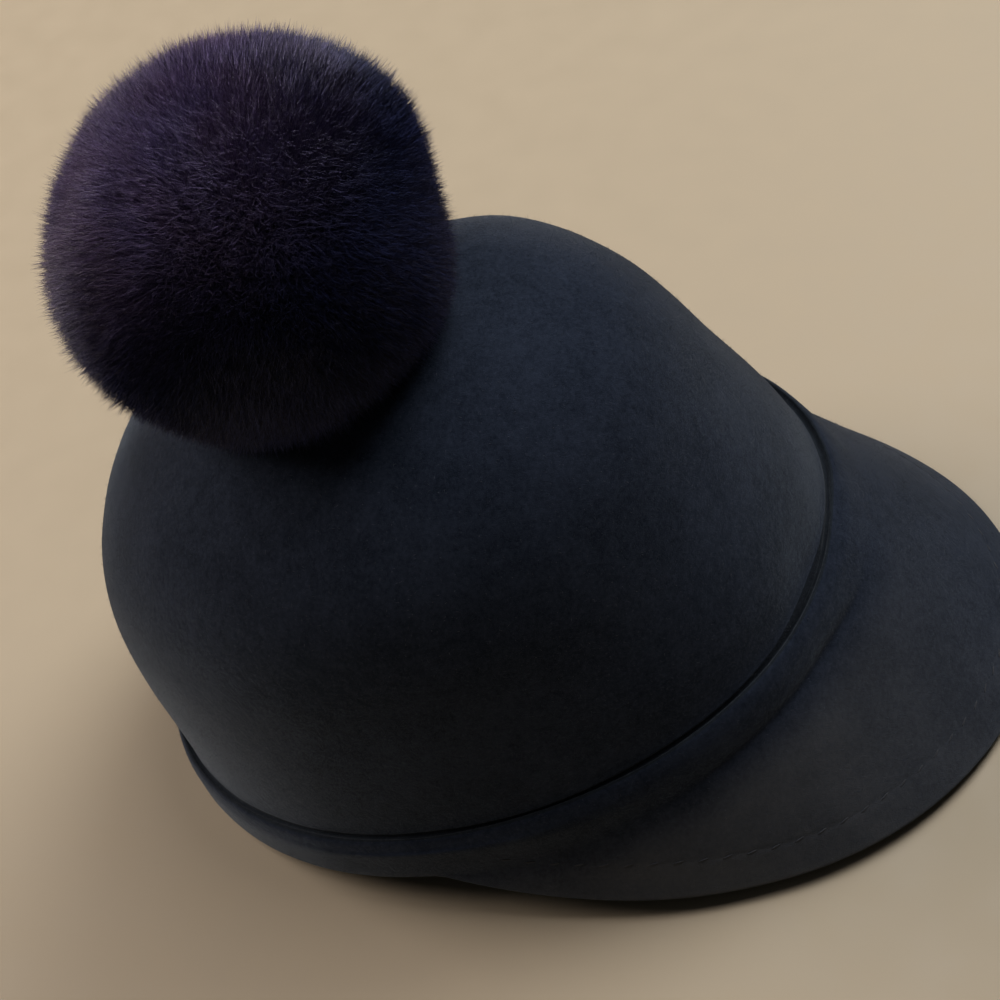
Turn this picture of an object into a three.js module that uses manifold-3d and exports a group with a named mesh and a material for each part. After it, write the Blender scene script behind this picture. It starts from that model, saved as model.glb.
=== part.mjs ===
// A hollow felt cap with a front peak and a fur ball on its crown, in millimetres.
// +Z is up, the peak points to -Y, and +X is the wearer's left.
import * as THREE from "three";
import Module from "manifold-3d";
import { mergeVertices } from "three/addons/utils/BufferGeometryUtils.js";

const { degToRad } = THREE.MathUtils;

// Felt wall
const FELT = 2.6; // thickness of the felt
const EDGE_ROUNDING = 0.3; // how far a felt edge bulges, as a share of the thickness
const FACETS_ROUND = 72; // facets round the cap
const OVAL_FULLNESS = 2.15; // exponent of the head's oval, where 2 is an ellipse

// Crown sections: the height above the crown's foot, and how far the felt reaches from the cap's axis
const CROWN_SECTIONS = [
  { rise: 0, front: 105.7, back: 103.2, side: 86.5 },
  { rise: 16, front: 102, back: 101.1, side: 84.2 },
  { rise: 33.5, front: 95.9, back: 99.2, side: 81.5 },
  { rise: 51, front: 89, back: 95.1, side: 78.5 },
  { rise: 67, front: 82.1, back: 87.8, side: 72.3 },
  { rise: 80.5, front: 72.1, back: 76.3, side: 61.8 },
  { rise: 91.5, front: 54.4, back: 56.8, side: 46.2 },
  { rise: 99.5, front: 32.6, back: 32.6, side: 27.1 },
  { rise: 104, front: 0, back: 0, side: 0 },
];
const RINGS_PER_SECTION = 2;

// Soft dents in the crown: the compass bearing from the front, the rise, the width and the depth
const CROWN_DENTS = [
  { name: "hollow beside the fur ball", bearing: 12, rise: 99, width: 17, depth: 1.6 },
  { name: "dimple low behind the fur ball", bearing: 205, rise: 78, width: 20, depth: 1.8 },
];
const DENT_PIVOT_RISE = 45; // height of the point that the dents push towards

// The groove pressed round the crown's foot and the folded collar that stands outside it
const FOOT_PATH = [
  { name: "groove inner wall", out: 0.2, up: -1.8 },
  { name: "groove floor", out: 0.7, up: -3.9 },
  { name: "collar inner wall", out: 1.6, up: -2.9 },
  { name: "collar crest", out: 2.5, up: -1.5 },
  { name: "collar shoulder", out: 3.5, up: -2.2 },
  { name: "band wall", out: 4.1, up: -4.8 },
];
const GROOVE_BACK = { out: -1.8, up: -6.2 }; // inner side of the felt behind the groove

// Band below the collar: it ends in the lower edge, and in front it bends into the peak
const BAND_START = { out: 4.4, up: -8 };
const BAND_EDGE_OUT = 5;
const BAND_HEIGHT = { front: 12, side: 17.6, back: 10 };

// Peak
const PEAK_HALF_ANGLE = degToRad(94); // from the middle to each corner, round the head's oval
const PEAK_FORWARD = 38.4; // reach in front of the band
const PEAK_DROP = 51.7; // fall from the band to the middle of the edge
const PEAK_HOLLOW = 4; // how much sooner the peak falls near the band, which hollows it
const PEAK_CORNER_SAG = 9.8; // extra fall towards the corners
const PEAK_SPREAD = 0.67; // how far the reach turns sideways, 0 is straight ahead
const PEAK_FULLNESS = 1.45; // exponent of the edge's curve, higher is squarer
const PEAK_STOPS = [0, 1 / 3, 2 / 3, 1]; // where the peak's curve is fixed, from the bend to the edge
const TAIL_RINGS = 6; // rings from the band's start to the felt's edge

// Fur ball
const BALL_RADIUS = 51.5;
const BALL_RISE = 28.3; // centre above the crown's top
const BALL_ASIDE = -1.3; // the ball has slumped a little to the wearer's right
const BALL_HEAD = 0.8; // radius of the round head, as a share of the ball's
const BALL_HEAD_DETAIL = 2;
const LOCKS = 110;
const LOCK_ROOT_RADIUS = 13;
const LOCK_TIP_RADIUS = 3.5;
const LOCK_ROOT_DEPTH = 0.6; // where a lock starts, as a share of the ball's radius
const LOCK_LEAN = 0.1; // sideways lean of a lock's tip
const LOCK_LEAN_STEPS = { x: 2.3, y: 3.7, z: 1.1 }; // how fast the lean turns from lock to lock
const LOCK_SIDES = 5;
const SEAT_GAP = 0.4; // clearance between the fur ball and the crown
const GOLDEN_ANGLE = Math.PI * (3 - Math.sqrt(5));
const WELD = 1e-4; // corners closer than this are one corner

// Rest: the cap leans back on its band and on the peak's edge, which the table flattens
const REST_TILT = degToRad(12);
const REST_LIFT = 32;

const NAVY_FELT = new THREE.MeshStandardMaterial({ color: 0x1b212c, roughness: 0.95, metalness: 0 });
const NAVY_FUR = new THREE.MeshStandardMaterial({ color: 0x14142a, roughness: 0.9, metalness: 0 });

const ANGLES = Array.from({ length: FACETS_ROUND }, (_, j) => (j / FACETS_ROUND) * 2 * Math.PI);

// A point of the egg-shaped oval at an angle from the front, moved outwards by a distance.
function ovalPoint(angle, { front, back, side }, outset = 0) {
  const forward = Math.cos(angle);
  const sideways = Math.sin(angle);
  const sum = Math.abs(forward) ** OVAL_FULLNESS + Math.abs(sideways) ** OVAL_FULLNESS;
  const norm = sum ** (1 / OVAL_FULLNESS);
  const reach = (forward > 0 ? front : back) + outset;
  return new THREE.Vector2(((side + outset) * sideways) / norm, (-reach * forward) / norm);
}

// The crown's sections joined by smooth curves, from the foot at 0 to the top at 1.
const REACH_CURVE = new THREE.CatmullRomCurve3(
  CROWN_SECTIONS.map(({ front, back, side }) => new THREE.Vector3(front, back, side)),
  false,
  "catmullrom",
);
const RISE_CURVE = new THREE.CatmullRomCurve3(
  CROWN_SECTIONS.map(({ rise }) => new THREE.Vector3(0, 0, rise)),
  false,
  "catmullrom",
);

function crownSection(share) {
  const reach = REACH_CURVE.getPoint(share);
  return { front: reach.x, back: reach.y, side: reach.z, rise: RISE_CURVE.getPoint(share).z };
}

// Presses the soft dents into a point of the crown.
function pressDents(point) {
  const pivot = new THREE.Vector3(0, 0, DENT_PIVOT_RISE);
  const inward = pivot.clone().sub(point).normalize();
  const pressed = point.clone();
  for (const { bearing, rise, width, depth } of CROWN_DENTS) {
    const level = CROWN_SECTIONS.find((section) => section.rise >= rise);
    const spot = ovalPoint(degToRad(bearing), level);
    const distance = point.distanceTo(new THREE.Vector3(spot.x, spot.y, rise));
    pressed.addScaledVector(inward, depth * Math.exp(-((distance / width) ** 2)));
  }
  return pressed;
}

function crownRing(share) {
  const section = crownSection(share);
  return ANGLES.map((angle) => {
    const flat = ovalPoint(angle, section);
    return pressDents(new THREE.Vector3(flat.x, flat.y, section.rise));
  });
}

// Rings of the crown's outside, from the one below the top down to the foot.
function crownRings() {
  const count = (CROWN_SECTIONS.length - 1) * RINGS_PER_SECTION;
  return Array.from({ length: count }, (_, i) => crownRing(1 - (i + 1) / count));
}

// A point placed from the crown's foot line by a distance outwards and a height.
function footPoint(angle, out, up) {
  const flat = ovalPoint(angle, CROWN_SECTIONS[0], out);
  return new THREE.Vector3(flat.x, flat.y, up);
}

function footRing({ out, up }) {
  return ANGLES.map((angle) => footPoint(angle, out, up));
}

function bandHeight(angle) {
  const end = Math.cos(angle) > 0 ? BAND_HEIGHT.front : BAND_HEIGHT.back;
  return THREE.MathUtils.lerp(BAND_HEIGHT.side, end, Math.cos(angle) ** 2);
}

// How much of the peak's reach stands at an angle from the front: 1 in the middle, 0 past the corners.
function peakShare(angle) {
  const fromFront = Math.abs(angle > Math.PI ? angle - 2 * Math.PI : angle);
  return Math.max(0, 1 - (fromFront / PEAK_HALF_ANGLE) ** PEAK_FULLNESS);
}

// A point of the peak's upper side, from the bend at 0 to the edge at 1.
function peakPoint(angle, along) {
  const bend = footPoint(angle, BAND_EDGE_OUT, -bandHeight(angle));
  const share = peakShare(angle);
  const heading = new THREE.Vector2(PEAK_SPREAD * Math.sin(angle), -1).normalize();
  const sideways = bend.x / CROWN_SECTIONS[0].side;
  const fall = PEAK_DROP + PEAK_HOLLOW * (1 - along) + PEAK_CORNER_SAG * sideways ** 2;
  const reach = heading.multiplyScalar(PEAK_FORWARD * share * along);
  return new THREE.Vector3(bend.x + reach.x, bend.y + reach.y, bend.z - fall * share * along);
}

// The felt from the band's start to its lower edge or, in front, out to the peak's edge.
function tailPath(angle) {
  const start = footPoint(angle, BAND_START.out, BAND_START.up);
  const stops = peakShare(angle) > 0 ? PEAK_STOPS : PEAK_STOPS.slice(0, 1);
  const points = [start, ...stops.map((along) => peakPoint(angle, along))];
  return new THREE.CatmullRomCurve3(points, false, "centripetal").getSpacedPoints(TAIL_RINGS);
}

function tailRings() {
  const paths = ANGLES.map(tailPath);
  return Array.from({ length: TAIL_RINGS + 1 }, (_, i) => paths.map((path) => path[i]));
}

// Unit normals of a stack of rings that runs down the outside of the cap.
function ringNormals(rings) {
  return rings.map((ring, i) =>
    ring.map((_, j) => {
      const above = rings[Math.max(i - 1, 0)][j];
      const below = rings[Math.min(i + 1, rings.length - 1)][j];
      const next = ring[(j + 1) % ring.length];
      const previous = ring[(j + ring.length - 1) % ring.length];
      return below.clone().sub(above).cross(next.clone().sub(previous)).normalize();
    }),
  );
}

function offsetRings(rings, distance) {
  const normals = ringNormals(rings);
  return rings.map((ring, i) =>
    ring.map((point, j) => point.clone().addScaledVector(normals[i][j], distance)),
  );
}

// The rounded ring between the outer and the inner edge of the felt.
function edgeRing(outer, inner) {
  const last = outer.length - 1;
  return outer[last].map((point, j) => {
    const outwards = point.clone().sub(outer[last - 1][j]).normalize();
    return point.clone().lerp(inner[last][j], 0.5).addScaledVector(outwards, FELT * EDGE_ROUNDING);
  });
}

// Closes a stack of rings between two poles into one body whose faces point out.
function closedBody(topPole, rings, bottomPole) {
  const count = rings[0].length;
  const points = [topPole, ...rings.flat(), bottomPole];
  const at = (i, j) => 1 + i * count + (j % count);
  const faces = [];
  for (let j = 0; j < count; j++) {
    faces.push(0, at(0, j), at(0, j + 1));
    for (let i = 0; i < rings.length - 1; i++) {
      faces.push(at(i, j), at(i + 1, j), at(i + 1, j + 1));
      faces.push(at(i, j), at(i + 1, j + 1), at(i, j + 1));
    }
    faces.push(at(rings.length - 1, j), points.length - 1, at(rings.length - 1, j + 1));
  }
  const geometry = new THREE.BufferGeometry().setFromPoints(points);
  geometry.setIndex(faces);
  return geometry;
}

// Leans the finished shape back to its rest and flattens what the table presses.
function layOnTable(geometry) {
  geometry.rotateX(-REST_TILT);
  geometry.translate(0, 0, REST_LIFT);
  const position = geometry.attributes.position;
  for (let i = 0; i < position.count; i++) {
    position.setZ(i, Math.max(0, position.getZ(i)));
  }
  return geometry;
}

// Felt body: crown, groove, band and peak, with the hollow for the head.
function feltBody() {
  const crown = crownRings();
  const foot = FOOT_PATH.map(footRing);
  const tail = tailRings();
  const tailInside = offsetRings(tail, -FELT);
  const outside = [...crown, ...foot, ...tail, edgeRing(tail, tailInside)];
  const crownInside = offsetRings(crown, -FELT).filter((_, i) => i % 2);
  const inside = [...tailInside.reverse(), footRing(GROOVE_BACK), ...crownInside.reverse()];
  const top = new THREE.Vector3(0, 0, CROWN_SECTIONS.at(-1).rise);
  const topInside = new THREE.Vector3(0, 0, top.z - FELT);
  return layOnTable(closedBody(top, [...outside, ...inside], topInside));
}

const wasm = await Module();
wasm.setup();

// A closed geometry as a solid that can be joined and cut.
function toSolid(geometry) {
  const bare = geometry.clone();
  bare.deleteAttribute("normal");
  bare.deleteAttribute("uv");
  const merged = mergeVertices(bare, WELD);
  return new wasm.Manifold(
    new wasm.Mesh({
      numProp: 3,
      vertProperties: new Float32Array(merged.attributes.position.array),
      triVerts: new Uint32Array(merged.index.array),
    }),
  );
}

function toGeometry(solid) {
  const mesh = solid.getMesh();
  const geometry = new THREE.BufferGeometry();
  geometry.setAttribute("position", new THREE.BufferAttribute(mesh.vertProperties, mesh.numProp));
  geometry.setIndex(new THREE.BufferAttribute(mesh.triVerts, 1));
  return geometry;
}

// Directions spread evenly over a ball.
function lockDirection(index) {
  const height = 1 - (2 * (index + 0.5)) / LOCKS;
  const flat = Math.sqrt(1 - height * height);
  const turn = index * GOLDEN_ANGLE;
  return new THREE.Vector3(flat * Math.cos(turn), flat * Math.sin(turn), height);
}

// One tapered lock of fur that leans a little to one side.
function lock(index, centre) {
  const direction = lockDirection(index);
  const { x, y, z } = LOCK_LEAN_STEPS;
  const lean = new THREE.Vector3(Math.sin(index * x), Math.cos(index * y), Math.sin(index * z));
  direction.addScaledVector(lean, LOCK_LEAN).normalize();
  const length = BALL_RADIUS * (1 - LOCK_ROOT_DEPTH);
  const geometry = new THREE.CylinderGeometry(LOCK_TIP_RADIUS, LOCK_ROOT_RADIUS, length, LOCK_SIDES);
  geometry.translate(0, BALL_RADIUS * LOCK_ROOT_DEPTH + length / 2, 0);
  geometry.applyQuaternion(new THREE.Quaternion().setFromUnitVectors(new THREE.Vector3(0, 1, 0), direction));
  geometry.translate(centre.x, centre.y, centre.z);
  return geometry;
}

// The crown's outside with the seat's clearance, closed below, for cutting the fur ball's seat.
function crownSeat() {
  const rings = offsetRings(crownRings(), SEAT_GAP);
  const top = new THREE.Vector3(0, 0, CROWN_SECTIONS.at(-1).rise + SEAT_GAP);
  return closedBody(top, rings, new THREE.Vector3(0, 0, 0));
}

// Fur ball: locks fused to a round head, seated on the crown.
function furBall() {
  const centre = new THREE.Vector3(BALL_ASIDE, 0, CROWN_SECTIONS.at(-1).rise + BALL_RISE);
  const head = new THREE.IcosahedronGeometry(BALL_RADIUS * BALL_HEAD, BALL_HEAD_DETAIL);
  head.translate(centre.x, centre.y, centre.z);
  let ball = toSolid(head);
  for (let index = 0; index < LOCKS; index++) {
    ball = ball.add(toSolid(lock(index, centre)));
  }
  return layOnTable(toGeometry(ball.subtract(toSolid(crownSeat()))));
}

function piece(name, geometry, material) {
  const mesh = new THREE.Mesh(geometry, material);
  mesh.name = name;
  return mesh;
}

const cap = new THREE.Group();
cap.add(piece("felt_body", feltBody(), NAVY_FELT));
cap.add(piece("pompom", furBall(), NAVY_FUR));

// The origin lies under the middle of the whole cap, on the table.
const bounds = new THREE.Box3().setFromObject(cap);
cap.position.set(-(bounds.min.x + bounds.max.x) / 2, -(bounds.min.y + bounds.max.y) / 2, 0);

export default cap;
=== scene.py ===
"""A navy felt cap with a peak and a fur ball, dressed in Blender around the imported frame.

The classes hold sizes in millimetres in the cap's own frame: +Z up from the crown's foot, the peak points
to -Y and +X is the wearer's left. Rest leans that frame back onto the table and turns it into metres.
A bearing is an angle from the front in degrees, below zero on the wearer's right. Finishes and node trees
work in metres.
"""

import logging
import math
from collections.abc import Callable, Sequence
from dataclasses import dataclass, field
from enum import Enum
from typing import Any

import bpy
import numpy as np
from mathutils import Matrix, Vector, noise


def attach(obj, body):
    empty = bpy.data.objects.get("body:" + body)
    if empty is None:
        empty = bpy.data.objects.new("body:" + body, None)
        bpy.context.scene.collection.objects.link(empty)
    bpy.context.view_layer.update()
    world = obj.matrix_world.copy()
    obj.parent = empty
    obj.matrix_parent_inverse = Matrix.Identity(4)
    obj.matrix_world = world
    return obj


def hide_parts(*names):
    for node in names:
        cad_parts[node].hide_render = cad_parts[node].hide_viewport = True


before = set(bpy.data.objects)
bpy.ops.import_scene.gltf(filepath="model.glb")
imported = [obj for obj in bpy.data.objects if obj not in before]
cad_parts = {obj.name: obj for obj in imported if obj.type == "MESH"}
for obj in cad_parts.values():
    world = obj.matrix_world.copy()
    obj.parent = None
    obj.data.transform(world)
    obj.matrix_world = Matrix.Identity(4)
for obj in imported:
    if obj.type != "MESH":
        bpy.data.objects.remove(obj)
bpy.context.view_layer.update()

LOG = logging.getLogger("felt_cap")
MM = 0.001
BODY = "root"
# Felt masks: painted highlight on ridges, painted light on the peak with a paler hem, painted shade in the
# groove and crease
FELT_MASKS = ("ridge_highlight", "wear_and_light", "pressed")
FLOAT = "NodeSocketFloat"
VECTOR = "NodeSocketVector"
Array = np.ndarray
Colour = tuple[float, float, float]
Span = tuple[float, float]


class Slot(Enum):
    """The record's material slots."""

    FELT = "navy_felt"
    FUR = "navy_fur"


# Curves and meshes


def between(start: Array, end: Array, leave: Array, arrive: Array, w: Array) -> Array:
    """Gives points of a cubic between two points.

    Args:
        start: Where it starts.
        end: Where it ends.
        leave: Its slope at the start.
        arrive: Its slope at the end.
        w: How far along, from 0 to 1.

    Returns:
        The points.
    """
    return (
        start
        + leave * w
        + (3 * (end - start) - 2 * leave - arrive) * w**2
        + (2 * (start - end) + leave + arrive) * w**3
    )


def even_curve(points: Array, shares: Array) -> Array:
    """Samples a smooth curve whose points are evenly spaced in its parameter.

    Args:
        points: The points to pass through, one per row.
        shares: Where to sample, from 0 at the first point to 1 at the last.

    Returns:
        One sampled point per share.
    """
    knots = np.vstack([2 * points[0] - points[1], points, 2 * points[-1] - points[-2]])
    at = np.clip(shares, 0, 1) * (len(points) - 1)
    first = np.minimum(at.astype(int), len(points) - 2)
    w = (at - first)[:, None]
    before, start, end, after = (knots[first + k] for k in range(4))
    return between(start, end, (end - before) / 2, (after - start) / 2, w)


def spaced_curve(points: Array, samples: int) -> Array:
    """Samples smooth curves whose bends follow the distance between their points.

    Args:
        points: Points to pass through, shaped (points, curves, 3).
        samples: How many samples each stretch between two points gets.

    Returns:
        The samples, shaped (samples in all, curves, 3), with every point at a multiple of samples.
    """
    knots = np.concatenate([2 * points[:1] - points[1:2], points, 2 * points[-1:] - points[-2:-1]])
    gaps = np.sqrt(np.linalg.norm(np.diff(knots, axis=0), axis=2, keepdims=True)) + 1e-6
    w = (np.arange(samples) / samples)[:, None, None]
    stretches = []
    for i in range(len(points) - 1):
        before, start, end, after = knots[i : i + 4]
        d0, d1, d2 = gaps[i : i + 3]
        leave = d1 * ((start - before) / d0 - (end - before) / (d0 + d1) + (end - start) / d1)
        arrive = d1 * ((end - start) / d1 - (after - start) / (d1 + d2) + (after - end) / d2)
        stretches.append(between(start, end, leave, arrive, w))
    return np.concatenate([*stretches, points[-1:]])


def grid_normals(rings: Array) -> Array:
    """Gives the outward unit normals of a stack of rings that runs down the outside.

    Args:
        rings: Points shaped (rings, facets, 3).

    Returns:
        Unit normals of the same shape.
    """
    down = np.concatenate([rings[1:2] - rings[:1], rings[2:] - rings[:-2], rings[-1:] - rings[-2:-1]])
    round_about = np.roll(rings, -1, axis=1) - np.roll(rings, 1, axis=1)
    normals = np.cross(down, round_about)
    return normals / np.linalg.norm(normals, axis=2, keepdims=True)


def bearings(angles: Array) -> Array:
    """Turns angles from the front into degrees, from -180 on the wearer's right to 180 on the left."""
    return np.degrees(np.where(angles > math.pi, angles - 2 * math.pi, angles))


def bell(distance: Array, width: float) -> Array:
    """Gives 1 at no distance, falling smoothly to 0 over about twice the width."""
    return np.exp(-((distance / width) ** 2))


def ramp(value: Array, low: float, high: float) -> Array:
    """Gives 0 below low and 1 above high, with a smooth step between."""
    share = np.clip((value - low) / (high - low), 0, 1)
    return share * share * (3 - 2 * share)


def lumps(points: Array, size: float, octaves: int, seed: float) -> Array:
    """Gives smooth random values about -1 to 1 at points.

    Args:
        points: Points in millimetres, in the last axis.
        size: Width of one lump in millimetres.
        octaves: How many finer layers are added.
        seed: Moves the pattern.

    Returns:
        One value per point.
    """
    flat = points.reshape(-1, 3) / size + seed
    values = [noise.fractal(Vector(p), 1.0, 2.0, octaves) for p in flat]
    return np.array(values).reshape(points.shape[:-1])


def new_mesh(
    name: str, points: Array, faces: Sequence[Sequence[int]], smooth: bool = True
) -> bpy.types.Object:
    """Makes a mesh object at the origin from points in metres.

    Args:
        name: Name of the object and of its mesh.
        points: One point per row, in metres.
        faces: Point indices of each face.
        smooth: Whether the faces are shaded smooth.

    Returns:
        The new object, linked to the scene.
    """
    mesh = bpy.data.meshes.new(name)
    mesh.from_pydata(np.asarray(points).tolist(), [], faces)
    if faces:
        mesh.polygons.foreach_set("use_smooth", [smooth] * len(mesh.polygons))
    mesh.update()
    made = bpy.data.objects.new(name, mesh)
    bpy.context.scene.collection.objects.link(made)
    return made


def add_values(target: bpy.types.Object, name: str, values: Array) -> None:
    """Stores one number or vector per point of a mesh under a name.

    Args:
        target: The mesh object.
        name: Name of the attribute.
        values: One value per point, or one vector per row.
    """
    vectors = values.ndim == 2
    kind, key = ("FLOAT_VECTOR", "vector") if vectors else ("FLOAT", "value")
    attribute = target.data.attributes.new(name, kind, "POINT")
    attribute.data.foreach_set(key, values.astype(np.float32).ravel())


def mesh_points(mesh: bpy.types.Mesh) -> Array:
    """Reads the points of a mesh, one per row."""
    points = np.empty(len(mesh.vertices) * 3)
    mesh.vertices.foreach_get("co", points)
    return points.reshape(-1, 3)


def dress(piece: bpy.types.Object, material: bpy.types.Material, slot: Slot, *nodes: str) -> bpy.types.Object:
    """Gives a finished piece its material and its place in the frame.

    Args:
        piece: The piece.
        material: Its finish.
        slot: The record's slot for that finish; not used.
        nodes: The CAD nodes that it stands for.

    Returns:
        The piece.
    """
    piece.data.materials.clear()
    piece.data.materials.append(material)
    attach(piece, BODY)
    if nodes:
        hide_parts(*nodes)
    triangles = sum(len(face.vertices) - 2 for face in piece.data.polygons)
    LOG.info("%s: %d triangles", piece.name, triangles)
    return piece


# Node trees


class Nodes:
    """Adds nodes to a tree and joins their sockets."""

    def __init__(self, tree: bpy.types.NodeTree) -> None:
        """Keeps the tree that nodes are added to."""
        self.tree = tree

    def fill(self, node: bpy.types.Node, inputs: dict[str | int, Any]) -> bpy.types.Node:
        """Links or sets the inputs of a node.

        Args:
            node: The node.
            inputs: A socket to link from, or a plain value, for each input by name or number.

        Returns:
            The node.
        """
        for key, value in inputs.items():
            if isinstance(value, bpy.types.NodeSocket):
                self.tree.links.new(value, node.inputs[key])
            else:
                node.inputs[key].default_value = value
        return node

    def add(
        self, kind: str, inputs: dict[str | int, Any] | None = None, **settings: Any
    ) -> bpy.types.bpy_prop_collection:
        """Adds one node.

        Args:
            kind: Blender's name of the node type.
            inputs: What goes into its inputs, as in fill.
            settings: Properties of the node.

        Returns:
            The node's outputs.
        """
        node = self.tree.nodes.new(kind)
        for key, value in settings.items():
            setattr(node, key, value)
        return self.fill(node, inputs or {}).outputs

    def math(self, operation: str, *values: Any, clamp: bool = False) -> bpy.types.NodeSocket:
        """Adds a Math node and returns its result."""
        return self.add("ShaderNodeMath", dict(enumerate(values)), operation=operation, use_clamp=clamp)[0]

    def vector(self, operation: str, *values: Any, scale: Any = None) -> bpy.types.NodeSocket:
        """Adds a Vector Math node and returns its vector, or its value where it has one.

        Args:
            operation: The node's operation.
            values: Its vector inputs.
            scale: Its scale, for SCALE.

        Returns:
            The socket of the result.
        """
        inputs = dict(enumerate(values))
        if scale is not None:
            inputs["Scale"] = scale
        outputs = self.add("ShaderNodeVectorMath", inputs, operation=operation)
        return outputs["Value" if operation in ("DISTANCE", "DOT_PRODUCT") else "Vector"]

    def blend(self, share: Any, low: float, high: float) -> bpy.types.NodeSocket:
        """Mixes two numbers and returns the result, which is high at share 1."""
        return self.add("ShaderNodeMix", {0: share, 2: low, 3: high}, data_type="FLOAT")[0]

    def paint(self, share: Any, low: Any, high: Any) -> bpy.types.NodeSocket:
        """Mixes two colours.

        Args:
            share: How much of high is taken.
            low: The colour at share 0, as a plain colour or a socket.
            high: The colour at share 1, as a plain colour or a socket.

        Returns:
            The socket of the result.
        """
        low, high = (rgba(colour) if isinstance(colour, tuple) else colour for colour in (low, high))
        return self.add("ShaderNodeMix", {0: share, 6: low, 7: high}, data_type="RGBA")[2]

    def span(
        self, value: Any, low: float, high: float, to_low: float = 0.0, to_high: float = 1.0
    ) -> bpy.types.NodeSocket:
        """Maps a value from one range to another with smooth ends.

        Args:
            value: The value.
            low: Start of its range.
            high: End of its range.
            to_low: Result at low.
            to_high: Result at high.

        Returns:
            The socket of the result.
        """
        inputs = {"Value": value, 1: low, 2: high, 3: to_low, 4: to_high}
        return self.add("ShaderNodeMapRange", inputs, interpolation_type="SMOOTHSTEP")["Result"]

    def noise(self, place: Any, scale: Any, detail: float) -> bpy.types.bpy_prop_collection:
        """Adds a Noise Texture and returns its outputs."""
        return self.add("ShaderNodeTexNoise", {"Vector": place, "Scale": scale, "Detail": detail})

    def inverse(self, size: Any) -> bpy.types.NodeSocket:
        """Gives one over a size."""
        return self.math("DIVIDE", 1.0, size)

    def place(self) -> bpy.types.NodeSocket:
        """Gives the place on the piece in metres."""
        return self.add("ShaderNodeTexCoord")["Object"]

    def bump(self, height: Any, strength: float, relief: float) -> bpy.types.NodeSocket:
        """Gives the normal of a surface with fine relief of a height in metres."""
        return self.add("ShaderNodeBump", {"Strength": strength, "Distance": relief, "Height": height})[0]


def new_group(
    name: str, kind: str, inputs: dict[str, tuple[str, Any]], outputs: dict[str, str]
) -> tuple[Nodes, bpy.types.bpy_prop_collection]:
    """Makes a node group with named sockets.

    Args:
        name: Name of the group.
        kind: Blender's name of its tree type.
        inputs: For each input, its socket type and its default value, or None.
        outputs: For each output, its socket type.

    Returns:
        The group's nodes, and what comes in through its inputs.
    """
    tree = bpy.data.node_groups.new(name, kind)
    for label, (socket_kind, value) in inputs.items():
        socket = tree.interface.new_socket(label, in_out="INPUT", socket_type=socket_kind)
        if value is not None:
            socket.default_value = value
    for label, socket_kind in outputs.items():
        tree.interface.new_socket(label, in_out="OUTPUT", socket_type=socket_kind)
    nodes = Nodes(tree)
    return nodes, nodes.add("NodeGroupInput")


# Each turn lays one sheet of fibres in another direction
FIBRE_TURNS = ((0.0, 0.0, 0.3), (1.2, 0.4, 0.0), (0.3, 1.4, 0.5), (-0.8, 0.7, 1.1))
CURL_SCALE = 450.0  # how fast the fibres' curl changes from place to place
TOP_FIBRES = (0.62, 0.74)  # heights between which a fibre comes to lie on top
CLOUD_RANGE = (0.3, 0.7)  # where most values of a Noise Texture lie
MIDDLE_GREY = (0.5, 0.5, 0.5)


def matted_fibres() -> bpy.types.NodeTree:
    """Builds the shader group for short fibres that lie every way, which felt and thread share.

    Returns:
        The group. Its outputs are the height of the fibres and a mask of the fibres that lie on top.
    """
    inputs = {
        "Vector": (VECTOR, None),
        "Fibre Width": (FLOAT, 0.0002),
        "Fibre Length": (FLOAT, 0.003),
        "Curl": (FLOAT, 0.0006),
    }
    outputs = {"Height": FLOAT, "Top Fibres": FLOAT}
    nodes, given = new_group("matted_fibres", "ShaderNodeTree", inputs, outputs)
    across, along = nodes.inverse(given["Fibre Width"]), nodes.inverse(given["Fibre Length"])
    wander = nodes.noise(given["Vector"], CURL_SCALE, 1.0)["Color"]
    centred = nodes.vector("SUBTRACT", wander, MIDDLE_GREY)
    bent = nodes.vector("ADD", given["Vector"], nodes.vector("SCALE", centred, scale=given["Curl"]))
    height: Any = None
    for turn in FIBRE_TURNS:
        inputs = {"Vector": bent, "Rotation": turn}
        turned = nodes.add("ShaderNodeVectorRotate", inputs, rotation_type="EULER_XYZ")
        stretch = nodes.add("ShaderNodeCombineXYZ", {0: across, 1: across, 2: along})
        strands = nodes.noise(nodes.vector("MULTIPLY", turned[0], stretch[0]), 1.0, 1.0)["Fac"]
        height = strands if height is None else nodes.math("MAXIMUM", height, strands)
    nodes.add("NodeGroupOutput", {"Height": height, "Top Fibres": nodes.span(height, *TOP_FIBRES)})
    return nodes.tree


def soft_patches() -> bpy.types.NodeTree:
    """Builds the shader group for slow drifts of tone, which felt and fur share.

    Returns:
        The group. Its output is 0 to 1, about 0.5 on the whole.
    """
    inputs = {"Vector": (VECTOR, None), "Patch Size": (FLOAT, 0.02)}
    nodes, given = new_group("soft_patches", "ShaderNodeTree", inputs, {"Tone": FLOAT})
    drift = nodes.noise(given["Vector"], nodes.inverse(given["Patch Size"]), 3.0)["Fac"]
    nodes.add("NodeGroupOutput", {"Tone": nodes.span(drift, *CLOUD_RANGE)})
    return nodes.tree


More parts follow.
